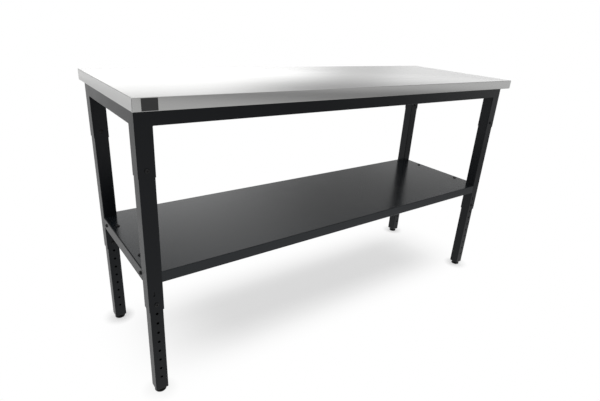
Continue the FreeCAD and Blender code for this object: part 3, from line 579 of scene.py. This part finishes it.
def thread(radius, depth, pitch, low, high):
    """A zigzag of thread flanks in the half section, upwards from low to high."""
    count = max(1, round((high - low) / pitch))
    step = (high - low) / count
    points = []
    for turn in range(count):
        start = low + turn * step
        points += [(radius, start + 0.15 * step), (radius, start + 0.35 * step)]
        points += [(radius - depth, start + 0.7 * step), (radius - depth, start + 0.9 * step)]
    return points


def corner_radius(flats):
    """From the middle of a hexagon to its corners."""
    return flats / math.sqrt(3)


def button_screw(shank, head, height, socket, length, look, threaded=0.012):
    """A button-head screw with a hexagon socket, its head standing on the origin."""
    scale = shank / M8_SCREW["shank"]
    depth = look.thread_depth * scale
    pitch = look.pitch * scale
    stop = -length + depth + threaded
    profile = [(0, -length), (shank - depth * 1.4, -length), (shank - depth, -length + depth * 0.5)]
    profile += thread(shank, depth, pitch, -length + depth, stop)
    profile += [(shank, stop + pitch), (shank, 0), (head * 0.97, 0)]
    rim = corner_radius(socket) * 1.08
    profile += arc(rim, height * 0.13, head - rim, height * 0.87, 0, 90, 7)
    # The socket's wall leans in a little, so that its two rings differ in radius.
    mouth, foot = rim * 0.96, rim * 0.96 * 0.999
    edge, floor = height - 0.0002, height * 0.42
    profile += [(mouth, edge), (foot, floor), (0, height * 0.34)]
    part = lathe(profile)
    make_hexagonal(part, socket, edge, height, mouth)
    make_hexagonal(part, socket, floor, floor, foot)
    return part


def hexagon_nut(flats, height, bore, look):
    """A nut with chamfered corners, standing on the origin."""
    chamfer = flats * 0.06
    corner = corner_radius(flats)
    rim = flats * 0.475
    inset = look.thread_depth
    profile = [(bore, inset), (bore + inset, 0), (rim, 0)]
    profile += [(corner, chamfer), (corner, height - chamfer), (rim, height)]
    profile += [(bore + inset, height), (bore, height - inset)]
    part = lathe(profile, ring=True)
    make_hexagonal(part, flats, chamfer, height - chamfer, corner)
    return part


def turned(x, y, z, turn=None):
    """The place of a part that is turned and then moved."""
    place = Matrix.Translation((x, y, z))
    return place @ turn if turn else place


def leg_centre(leg):
    """Where a leg stands, seen from above."""
    low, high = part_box(f"leg_sleeve_{leg}")
    centre = (low + high) / 2
    return centre.x, centre.y


def outwards(leg):
    """The signs of X and Y on the way from the table's middle to a leg."""
    end, side = leg.split("_")
    return -1 if side == "left" else 1, -1 if end == "front" else 1


def corners(node, leg):
    """The corners of a node's box seen from above: towards the table's middle, and away from it."""
    low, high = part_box(node)
    away = outwards(leg)
    inner = [high[axis] if away[axis] < 0 else low[axis] for axis in (0, 1)]
    outer = [low[axis] if away[axis] < 0 else high[axis] for axis in (0, 1)]
    return inner, outer


HEAD_TO_FRONT = Matrix.Rotation(math.radians(90), 4, "X")
HEAD_OUTWARDS = {
    "left": Matrix.Rotation(math.radians(-90), 4, "Y"),
    "right": Matrix.Rotation(math.radians(90), 4, "Y"),
}
HEAD_DOWN = Matrix.Rotation(math.radians(180), 4, "X")


def both_ends(left, right, ys, level):
    """Places on the table's left and right, with the heads turned outwards."""
    seats = {"left": left, "right": right}
    return [turned(seats[side], y, level, HEAD_OUTWARDS[side]) for side in SIDES for y in ys]


def bead(start, end, radius, ripple):
    """A weld bead: a rounded run from start to end with a ripple every few millimetres."""
    start, end = Vector(start), Vector(end)
    run = (end - start).length
    count = max(2, round(run / ripple)) * 2
    tip, crest, valley = radius * 0.6, radius, radius * 0.86
    part = bmesh.new()
    bmesh.ops.create_circle(part, segments=8, radius=tip, cap_ends=True)
    faces = list(part.faces)
    for step in range(1, count + 1):
        made = bmesh.ops.extrude_face_region(part, geom=faces)["geom"]
        if step > 1:
            bmesh.ops.delete(part, geom=faces, context="FACES_ONLY")
        faces = picked(made, bmesh.types.BMFace)
        ring = picked(made, bmesh.types.BMVert)
        bmesh.ops.translate(part, vec=(0, 0, run / count), verts=ring)
        wanted = tip if step == count else crest if step % 2 else valley
        for vert in ring:
            scale = wanted / vert.co.xy.length
            vert.co.x *= scale
            vert.co.y *= scale
    bmesh.ops.recalc_face_normals(part, faces=part.faces)
    turn = (end - start).to_track_quat("Z", "Y").to_matrix().to_4x4()
    bmesh.ops.transform(part, matrix=Matrix.Translation(start) @ turn, verts=part.verts)
    return part


# ---------------------------------------------------------------- operators


class TABLE_OT_finishes(bpy.types.Operator):
    """Makes every finish of the table"""

    bl_idname = "table.make_finishes"
    bl_label = "Make finishes"

    def execute(self, context):
        coat = context.scene.table_coat
        steel_material(context.scene.table_steel)
        coat_material("frame_powder_coat", coat.frame_colour, coat.frame_roughness, 0.27)
        coat_material("shelf_powder_coat", coat.shelf_colour, coat.shelf_roughness, 0.42, 0.00004)
        zinc_material()
        oxide_material()
        plastic_material()
        board_material()
        plate_material()
        return {"FINISHED"}


class TABLE_OT_worktop(bpy.types.Operator):
    """Folds the worktop's stainless sheet, with its corner seams and the recess for the plate"""

    bl_idname = "table.make_worktop"
    bl_label = "Make worktop"

    def execute(self, context):
        look = context.scene.table_steel
        low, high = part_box("worktop_skin")
        sheet = block(high - low, (low + high) / 2)
        bottom = [face for face in sheet.faces if face.normal.z < -0.5]
        bmesh.ops.delete(sheet, geom=bottom, context="FACES_ONLY")
        rim = [edge for edge in sheet.edges if edge.is_boundary]
        made = bmesh.ops.extrude_edge_only(sheet, edges=rim)["geom"]
        for vert in picked(made, bmesh.types.BMVert):
            vert.co.x -= math.copysign(look.lip, vert.co.x)
            vert.co.y -= math.copysign(look.lip, vert.co.y)
        bevel(sheet, [edge for edge in sheet.edges if self.is_fold(edge)], look.bend, 4)
        self.cut_seams(sheet, low, high, look.bend)
        self.sink_plate_recess(sheet, low, high, context.scene.table_plate)
        bmesh.ops.recalc_face_normals(sheet, faces=sheet.faces)
        piece = make_piece(
            "worktop_sheet", sheet, "brushed_stainless", nodes=["worktop_skin"]
        )
        wall = piece.modifiers.new("gauge", "SOLIDIFY")
        wall.thickness = look.gauge
        wall.offset = -1
        wall.use_even_offset = True
        paint_nodes("fibreboard", ["worktop_board"])
        return {"FINISHED"}

    def is_fold(self, edge):
        """True for the arrises of the sheet, which all join two faces that stand at an angle."""
        return len(edge.link_faces) == 2 and edge.calc_face_angle(0) > math.radians(45)

    def cut_seams(self, sheet, low, high, bend):
        """Sinks a hairline beside each corner of the two end faces."""

        def on_end(face):
            return abs(face.normal.x) > 0.99

        for y, inwards in ((low.y, 1), (high.y, -1)):
            near = y + inwards * bend * 1.5
            far = near + inwards * SEAM_WIDTH
            for level in (near, far):
                self.slice(sheet, (0, level, 0), (0, 1, 0), on_end)
            strips = [
                face
                for face in sheet.faces
                if on_end(face)
                and min(near, far) < face.calc_center_median().y < max(near, far)
                and face.calc_area() > 0.5 * bend * SEAM_WIDTH
            ]
            for strip in strips:
                self.sink(sheet, strip, -SEAM_DEPTH * strip.normal)

    def sink_plate_recess(self, sheet, low, high, plate):
        """Sinks the flat place in the front edge that holds the plate."""
        left = low.x + plate.left
        right = left + plate.width
        top = high.z - plate.drop
        bottom = top - plate.height

        def on_front(face):
            return face.normal.y < -0.99

        for x in (left, right):
            self.slice(sheet, (x, 0, 0), (1, 0, 0), on_front)
        for z in (bottom, top):
            self.slice(sheet, (0, 0, z), (0, 0, 1), on_front)
        for face in [face for face in sheet.faces if on_front(face)]:
            centre = face.calc_center_median()
            if left < centre.x < right and bottom < centre.z < top:
                self.sink(sheet, face, (0, plate.depth, 0))

    def slice(self, sheet, point, normal, wanted):
        """Cuts the wanted faces with a plane."""
        faces = [face for face in sheet.faces if wanted(face)]
        geom = faces + list(dict.fromkeys(edge for face in faces for edge in face.edges))
        bmesh.ops.bisect_plane(sheet, geom=geom, plane_co=point, plane_no=normal, dist=SAME)

    def sink(self, sheet, face, move):
        """Presses a face in, leaving walls round it."""
        made = bmesh.ops.extrude_face_region(sheet, geom=[face])["geom"]
        bmesh.ops.delete(sheet, geom=[face], context="FACES")
        bmesh.ops.translate(sheet, vec=move, verts=picked(made, bmesh.types.BMVert))


class TABLE_OT_plate(bpy.types.Operator):
    """Sets the blank plate into the front edge of the worktop"""

    bl_idname = "table.make_plate"
    bl_label = "Make blank plate"

    def execute(self, context):
        plate = context.scene.table_plate
        low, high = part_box("worktop_skin")
        gap, border, slope, sunk = 0.00012, 0.0009, 0.00015, 0.00012
        blank = block((plate.width - 2 * gap, plate.depth, plate.height - 2 * gap))
        face = next(face for face in blank.faces if face.normal.y < -0.5)
        bmesh.ops.inset_region(blank, faces=[face], thickness=border)
        bmesh.ops.inset_region(blank, faces=[face], thickness=slope, depth=-sunk)
        centre = (
            low.x + plate.left + plate.width / 2,
            low.y + plate.depth / 2,
            high.z - plate.drop - plate.height / 2,
        )
        bmesh.ops.translate(blank, vec=centre, verts=blank.verts)
        make_piece("blank_plate", blank, "blank_plate")
        return {"FINISHED"}


class TABLE_OT_frame(bpy.types.Operator):
    """Coats the tubes, caps, gussets, end rails and brackets, and lays the weld beads"""

    bl_idname = "table.make_frame"
    bl_label = "Make frame"

    def execute(self, context):
        look = context.scene.table_hardware
        names = [f"top_rail_{place}" for place in ("front", "back", "left", "right")]
        names += ["top_cross_rail", "shelf_end_rail_left", "shelf_end_rail_right"]
        for leg in LEGS:
            names += [f"gusset_{leg}", f"leg_sleeve_{leg}", f"sleeve_cap_{leg}"]
            names += [f"leg_post_{leg}", f"sliding_leg_{leg}", f"rail_bracket_{leg}"]
        paint_nodes("frame_powder_coat", names)
        paint_nodes("moulded_plastic", [f"leg_plug_{leg}" for leg in LEGS])
        beads = [bead(start, end, look.bead, look.ripple) for start, end in self.joints()]
        make_piece("weld_beads", joined(beads), "frame_powder_coat")
        make_piece("ground_welds", joined(self.ground_welds()), "frame_powder_coat")
        return {"FINISHED"}

    def ground_welds(self):
        """Strips of weld ground flush, which close the grooves outside the sleeves and rails."""
        width, depth, radius = 0.0066, 0.0026, 0.0009
        proud, shift, short = 0.00004, 0.0004, 0.0016
        strips = []
        for leg in LEGS:
            end, _ = leg.split("_")
            bottom, top = [corner.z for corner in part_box(f"top_rail_{end}")]
            inner, outer = corners(f"leg_sleeve_{leg}", leg)
            away = outwards(leg)
            for across, along in ((0, 1), (1, 0)):
                centre = Vector((0, 0, (bottom + top) / 2))
                centre[across] = inner[across] + away[across] * shift
                centre[along] = outer[along] + away[along] * (proud - depth / 2)
                size = Vector((0, 0, top - bottom - short))
                size[across] = width
                size[along] = depth
                strip = block(size, centre)
                face = next(face for face in strip.faces if face.normal[along] * away[along] > 0.5)
                bevel(strip, list(face.edges), radius, 4)
                strips.append(strip)
        return strips

    def joints(self):
        """Where rails meet sleeves, inside and underneath, and where the cross rail meets rails."""
        below, above, trim = 0.003, 0.005, 0.004
        bottom, top = [corner.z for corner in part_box("top_rail_front")]
        lines = []
        for leg in LEGS:
            end, side = leg.split("_")
            (sleeve_x, sleeve_y), _ = corners(f"leg_sleeve_{leg}", leg)
            (_, rail_y), (_, edge_y) = corners(f"top_rail_{end}", leg)
            (rail_x, _), (edge_x, _) = corners(f"top_rail_{side}", leg)
            for x, y in ((sleeve_x, rail_y), (rail_x, sleeve_y)):
                lines.append(((x, y, bottom + below), (x, y, top - above)))
            trim_x, trim_y = [trim * sign for sign in outwards(leg)]
            start, stop = edge_y - trim_y, rail_y + trim_y
            lines.append(((sleeve_x, start, bottom), (sleeve_x, stop, bottom)))
            start, stop = edge_x - trim_x, rail_x + trim_x
            lines.append(((start, sleeve_y, bottom), (stop, sleeve_y, bottom)))
        low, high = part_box("top_cross_rail")
        for x in (low.x, high.x):
            for y in (low.y, high.y):
                lines.append(((x, y, bottom + below), (x, y, top - below)))
        return lines


class TABLE_OT_shelf(bpy.types.Operator):
    """Coats the shelf and its stiffener, and adds the marks of its spot welds"""

    bl_idname = "table.make_shelf"
    bl_label = "Make shelf"

    def execute(self, context):
        paint_nodes("shelf_powder_coat", ["shelf", "shelf_stiffener"])
        low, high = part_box("shelf")
        # Half the section of a mark: a low ring round a shallow dimple.
        profile = [(0, -0.0001), (0.0024, -0.0001), (0.0021, 0.00008)]
        profile += [(0.0012, 0.00014), (0, 0.00008)]
        row = low.y + 0.0285
        shares = (0.12, 0.355, 0.59, 0.825)
        xs = [low.x + (high.x - low.x) * share for share in shares]
        marks = copies(lathe(profile, 12), [turned(x, row, high.z) for x in xs])
        make_piece("shelf_weld_marks", marks, "shelf_powder_coat")
        folds = joined(self.end_folds(low, high))
        make_piece("shelf_end_folds", folds, "shelf_powder_coat")
        return {"FINISHED"}

    def end_folds(self, low, high):
        """Short returns that close the front flange's ends against the posts' rounded corners."""
        size = (0.0026, 0.0012, 0.0355)
        overlap, inset, drop, radius = 0.0010, 0.0008, 0.0195, 0.0003
        folds = []
        for side in SIDES:
            leg = f"front_{side}"
            (face, _), _ = corners(f"leg_post_{leg}", leg)
            x = face + outwards(leg)[0] * overlap
            fold = block(size, (x, low.y + inset, high.z - drop))
            upright = []
            for edge in fold.edges:
                first, second = edge.verts
                if abs(first.co.z - second.co.z) > size[2] / 2:
                    upright.append(edge)
            bevel(fold, upright, radius, 2)
            folds.append(fold)
        return folds


class TABLE_OT_screws(bpy.types.Operator):
    """Makes the button-head screws and lock bolts with their sockets and threads"""

    bl_idname = "table.make_screws"
    bl_label = "Make screws"

    def execute(self, context):
        look = context.scene.table_hardware
        self.across_legs("sleeve_screws", look)
        self.across_legs("lock_bolts", look)
        self.shelf(look)
        self.end_rails(look)
        self.gussets(look)
        return {"FINISHED"}

    def across_legs(self, name, look):
        """Screws that go into the legs from the front."""
        low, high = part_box(name)
        centres = [leg_centre(leg) for leg in LEGS]
        front = min(y for _, y in centres)
        back = max(y for _, y in centres)
        length = high.y - low.y - (back - front) - M8_SCREW["height"]
        screw = button_screw(**M8_SCREW, length=length, look=look)
        seat = low.y + M8_SCREW["height"] - front
        level = (low.z + high.z) / 2
        places = [turned(x, y + seat, level, HEAD_TO_FRONT) for x, y in centres]
        title = name.rstrip("s") + "_set"
        make_piece(title, copies(screw, places), "black_oxide", nodes=[name])

    def shelf(self, look):
        """Screws that go down through the shelf and its end rails."""
        low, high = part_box("shelf_screws")
        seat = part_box("shelf")[1].z
        screw = button_screw(**M8_SCREW, length=seat - low.z, look=look, threaded=0.005)
        head = M8_SCREW["head"]
        ys = (low.y + head, high.y - head)
        places = [turned(x, y, seat) for x in (low.x + head, high.x - head) for y in ys]
        made = copies(screw, places)
        make_piece("shelf_screw_set", made, "black_oxide", nodes=["shelf_screws"])

    def end_rails(self, look):
        """Screws that go through the end rails into their brackets."""
        low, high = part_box("rail_screws")
        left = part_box("shelf_end_rail_left")[0].x
        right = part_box("shelf_end_rail_right")[1].x
        screw = button_screw(**M8_SCREW, length=0.0135, look=look, threaded=0.006)
        ys = (low.y + M8_SCREW["head"], high.y - M8_SCREW["head"])
        places = both_ends(left, right, ys, (low.z + high.z) / 2)
        made = copies(screw, places)
        make_piece("rail_screw_set", made, "black_oxide", nodes=["rail_screws"])

    def gussets(self, look):
        """Wood screws that point up into the board, two at each corner."""
        screw = button_screw(**WOOD_SCREW, length=0.022, look=look, threaded=0.018)
        places = []
        for leg in LEGS:
            _, outer = corners(f"leg_sleeve_{leg}", leg)
            away = outwards(leg)
            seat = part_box(f"gusset_{leg}")[0].z
            for across, along in GUSSET_HOLES:
                x = outer[0] - away[0] * across
                y = outer[1] - away[1] * along
                places.append(turned(x, y, seat, HEAD_DOWN))
        made = copies(screw, places)
        make_piece("wood_screw_set", made, "zinc_plate", nodes=["worktop_screws"])


class TABLE_OT_nuts(bpy.types.Operator):
    """Makes the nuts with chamfered corners"""

    bl_idname = "table.make_nuts"
    bl_label = "Make nuts"

    def execute(self, context):
        look = context.scene.table_hardware
        for name, material, slot in (
            ("sleeve_screw_nuts", "zinc_plate", "zinc"),
            ("lock_bolt_nuts", "black_oxide", "black_screw"),
        ):
            low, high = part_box(name)
            centres = [leg_centre(leg) for leg in LEGS]
            seat = low.y - min(y for _, y in centres) + M8_NUT["height"]
            level = (low.z + high.z) / 2
            places = [turned(x, y + seat, level, HEAD_TO_FRONT) for x, y in centres]
            made = copies(hexagon_nut(**M8_NUT, look=look), places)
            make_piece(name.rstrip("s") + "_set", made, material, nodes=[name])
        self.shelf(look)
        self.end_rails(look)
        return {"FINISHED"}

    def shelf(self, look):
        """Nuts under the shelf's end rails, with their corners along X."""
        low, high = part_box("shelf_screw_nuts")
        reach = corner_radius(M8_NUT["flats"])
        half = M8_NUT["flats"] / 2
        ys = (low.y + half, high.y - half)
        places = [turned(x, y, low.z) for x in (low.x + reach, high.x - reach) for y in ys]
        made = copies(hexagon_nut(**M8_NUT, look=look), places)
        make_piece("shelf_nut_set", made, "zinc_plate", nodes=["shelf_screw_nuts"])

    def end_rails(self, look):
        """Nuts inside the brackets of the end rails."""
        low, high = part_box("rail_screw_nuts")
        half = M8_NUT["flats"] / 2
        left, right = low.x + M8_NUT["height"], high.x - M8_NUT["height"]
        ys = (low.y + half, high.y - half)
        places = both_ends(left, right, ys, (low.z + high.z) / 2)
        made = copies(hexagon_nut(**M8_NUT, look=look), places)
        make_piece("rail_nut_set", made, "zinc_plate", nodes=["rail_screw_nuts"])


class TABLE_OT_feet(bpy.types.Operator):
    """Makes the levelling feet: pads, threaded stems and lock nuts"""

    bl_idname = "table.make_feet"
    bl_label = "Make feet"

    def execute(self, context):
        look = context.scene.table_hardware
        for leg in LEGS:
            x, y = leg_centre(leg)
            here = [turned(x, y, 0)]
            self.pad(leg, here)
            self.stem(leg, here, look)
            name = f"foot_lock_nut_{leg}"
            low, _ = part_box(name)
            nut = copies(hexagon_nut(**M8_LOCK_NUT, look=look), [turned(x, y, low.z)])
            carrier = f"sliding_leg_{leg}"
            make_piece(f"{name}_made", nut, "black_oxide", carrier, [name])
        return {"FINISHED"}

    def pad(self, leg, here):
        """A pad: from the middle of its sole, over the rim and the cone, down into the socket."""
        profile = [(0, 0.0005), (0.0150, 0.0005), (0.0156, 0), (0.0178, 0), (0.0186, 0.0004)]
        profile += [(0.019, 0.0011), (0.019, 0.0034), (0.0187, 0.0039), (0.0180, 0.0043)]
        profile += [(0.0150, 0.0053), (0.0124, 0.0067), (0.0114, 0.0073), (0.0108, 0.0075)]
        profile += [(0.0046, 0.0075), (0.0041, 0.0071), (0.0041, 0.0049), (0.0071, 0.0049)]
        profile += [(0.0071, 0.0022), (0, 0.0022)]
        pad = copies(lathe(profile, 48), here)
        name = f"foot_pad_{leg}"
        make_piece(f"{name}_made", pad, "moulded_plastic", name, [name])

    def stem(self, leg, here, look):
        """A stem: the disc in the pad's socket, the hexagon collar and the thread."""
        name = f"foot_stem_{leg}"
        low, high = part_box(name)
        base, top = low.z, high.z
        disc, disc_height = 0.007, 0.0025
        shank = M8_SCREW["shank"]
        flats = M8_NUT["flats"]
        corner = corner_radius(flats)
        start, stop, chamfer = base + 0.0055, base + 0.008, 0.0006
        rim = 0.0062
        profile = [(0, base), (0.0066, base), (disc, base + 0.0004), (disc, base + 0.0021)]
        profile += [(0.0066, base + disc_height), (shank, base + disc_height), (shank, start)]
        profile += [(rim, start), (corner, start + chamfer), (corner, stop - chamfer), (rim, stop)]
        profile += [(0.0043, stop)]
        profile += thread(shank, look.thread_depth, look.pitch, stop + 0.0002, top - 0.001)
        profile += [(0.0032, top), (0, top)]
        stem = lathe(profile)
        make_hexagonal(stem, flats, start + chamfer, stop - chamfer, corner)
        made = copies(stem, here)
        make_piece(f"{name}_made", made, "black_oxide", name, [name])


class TABLE_OT_studio(bpy.types.Operator):
    """Sets up the floor, the soft light and the camera"""

    bl_idname = "table.make_studio"
    bl_label = "Make studio"

    def execute(self, context):
        look = context.scene.table_studio
        self.floor(look)
        self.surround(context, look)
        lamp = bpy.data.lights.new("overhead_lamp", "AREA")
        lamp.shape = "RECTANGLE"
        lamp.size, lamp.size_y = LAMP_SIZE
        lamp.energy = look.lamp
        holder = bpy.data.objects.new("overhead_lamp", lamp)
        holder.location = LAMP_PLACE
        context.scene.collection.objects.link(holder)
        holder.visible_glossy = False
        camera = bpy.data.cameras.new("camera")
        camera.sensor_width = 36.0
        camera.lens = 26.7161
        camera.shift_x = -0.010575
        camera.shift_y = 0.001137
        camera.clip_start = 0.05
        camera.clip_end = 100
        eye = bpy.data.objects.new("camera", camera)
        eye.location = (-1.23884, -1.47045, 1.21546)
        eye.rotation_euler = [math.radians(angle) for angle in (67.6242, -3.7445, -36.8298)]
        context.scene.collection.objects.link(eye)
        context.scene.camera = eye
        context.scene.view_settings.view_transform = "Standard"
        return {"FINISHED"}

    def floor(self, look):
        """White all round, with the table's shadow under it. Glossy faces see a patchy floor."""
        material, shading = new_material("studio_floor")
        x, y, _ = shading.axes()
        # The shadow: a soft patch under the table and a spot round each foot, faint at one.
        under = x.spread(-1.02, -0.45, 0, 1) * x.spread(0.5, 1.02, 1, 0)
        under = under * abs(y + 0.01).spread(0.05, 0.34, 1, 0)
        where = shading.node("ShaderNodeTexCoord", output="Object")
        for leg in LEGS:
            sockets = {0: where, 1: (*leg_centre(leg), 0)}
            distance = {"operation": "DISTANCE"}
            reach = shading.node("ShaderNodeVectorMath", distance, sockets, output="Value")
            weight = 0.35 if leg == "front_left" else 1.0
            under = under.math("MAXIMUM", under, reach.spread(0.025, 0.075, weight, 0))
        share = under * look.shade
        grey = shading.node("ShaderNodeCombineColor", {}, {0: share, 1: share, 2: share})
        lit = shading.node("ShaderNodeBsdfDiffuse", {}, {"Color": grey})
        white = shading.node("ShaderNodeEmission", {}, {"Strength": 1.0 - share * 0.79})
        seen = shading.node("ShaderNodeAddShader", {}, {0: lit, 1: white})
        # What glossy faces see of the floor in front of the table, behind it and at its left.
        front = x.spread(0, 2.6, 0.66, 0.28) + x.spread(2.9, 6.0, 0, 0.44)
        behind = y.spread(1.6, 4.0, 0.78, 0.75) + y.spread(4.8, 7.6, 0, 0.30)
        level = front + (behind - front) * y.spread(-1.5, 0.6, 0, 1)
        level = level * (1.0 - x.spread(-3.4, -2.2, 0.85, 0) * y.spread(0.5, 2.5, 1, 0))
        mirrored = shading.node("ShaderNodeEmission", {}, {"Strength": level})
        plain = shading.node("ShaderNodeBsdfDiffuse", {}, {"Color": (0.75, 0.75, 0.75, 1)})
        glossy_ray = shading.node("ShaderNodeLightPath", output="Is Glossy Ray")
        camera_ray = shading.node("ShaderNodeLightPath", output="Is Camera Ray")
        bounced = shading.node("ShaderNodeMixShader", {}, {0: glossy_ray, 1: plain, 2: mirrored})
        both = shading.node("ShaderNodeMixShader", {}, {0: camera_ray, 1: bounced, 2: seen})
        shading.node("ShaderNodeOutputMaterial", {}, {"Surface": both})
        ground = bmesh.new()
        bmesh.ops.create_grid(ground, x_segments=2, y_segments=2, size=look.floor / 2)
        mesh = bpy.data.meshes.new("studio_floor")
        ground.to_mesh(mesh)
        ground.free()
        mesh.materials.append(material)
        piece = bpy.data.objects.new("studio_floor", mesh)
        piece.location.z = -0.0002
        bpy.context.scene.collection.objects.link(piece)

    def surround(self, context, look):
        """White for the camera, soft light for matt faces and a patchy room for glossy ones."""
        world = bpy.data.worlds.new("studio")
        context.scene.world = world
        shading = Shading(world)
        x, y, z = shading.axes("Generated")
        turn = x.math("ARCTAN2", x, y)

        def round_about(start, stop, first, last):
            """A change between two bearings, in degrees from the back towards the right."""
            return turn.spread(math.radians(start), math.radians(stop), first, last)

        # Three bands of the wall behind, from the horizon up, then the wall at the left.
        low = round_about(34, 43.5, 1.64, 0.93) + round_about(45, 51, 0, 0.27)
        high = round_about(18, 40, 1.4, 0.4)
        top = round_about(13, 26, 0.78, 1.0) + round_about(31, 46, 0, -0.44)
        rise = z - round_about(20, 38, 0.11, 0)
        room = low + (high - low) * rise.spread(0.17, 0.3, 0, 1)
        room = room + (top - high) * z.spread(0.34, 0.5, 0, 1)
        room = room * (round_about(-10, 9, 0.3, 1.0) + round_about(-45, -25, 0.45, 0))
        # The wall in front, and the ceiling.
        near = z.spread(0.05, 0.5, 0.5, 0.4)
        room = near + (room - near) * y.spread(-0.3, 0.1, 0, 1)
        mirrored = room.math("MAXIMUM", room, z.spread(0.6, 0.86, 0, 1.15))
        glossy_ray = shading.node("ShaderNodeLightPath", output="Is Glossy Ray")
        camera_ray = shading.node("ShaderNodeLightPath", output="Is Camera Ray")
        light = mirrored * glossy_ray + look.surround * (1.0 - glossy_ray)
        strength = camera_ray + light * (1.0 - camera_ray)
        sockets = {"Color": (1, 1, 1, 1), "Strength": strength}
        back = shading.node("ShaderNodeBackground", {}, sockets)
        shading.node("ShaderNodeOutputWorld", {}, {"Surface": back})


STEPS = (
    TABLE_OT_finishes,
    TABLE_OT_worktop,
    TABLE_OT_plate,
    TABLE_OT_frame,
    TABLE_OT_shelf,
    TABLE_OT_screws,
    TABLE_OT_nuts,
    TABLE_OT_feet,
    TABLE_OT_studio,
)


class TABLE_PT_panel(bpy.types.Panel):
    """The steps that make the table, in order"""

    bl_idname = "TABLE_PT_panel"
    bl_label = "Assembly table"
    bl_space_type = "VIEW_3D"
    bl_region_type = "UI"
    bl_category = "Table"

    def draw(self, context):
        column = self.layout.column()
        for step in STEPS:
            column.operator(step.bl_idname)


LOOKS = {
    "table_steel": SteelLook,
    "table_plate": PlateLook,
    "table_coat": CoatLook,
    "table_hardware": HardwareLook,
    "table_studio": StudioLook,
}


def register():
    for kind in (*LOOKS.values(), *STEPS, TABLE_PT_panel):
        bpy.utils.register_class(kind)
    for name, kind in LOOKS.items():
        setattr(bpy.types.Scene, name, bpy.props.PointerProperty(type=kind))


def unregister():
    for name in LOOKS:
        delattr(bpy.types.Scene, name)
    for kind in (TABLE_PT_panel, *reversed(STEPS), *reversed(LOOKS.values())):
        bpy.utils.unregister_class(kind)


def main():
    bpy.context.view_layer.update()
    register()
    for step in STEPS:
        group, name = step.bl_idname.split(".")
        getattr(getattr(bpy.ops, group), name)()


if __name__ == "__main__":
    main()
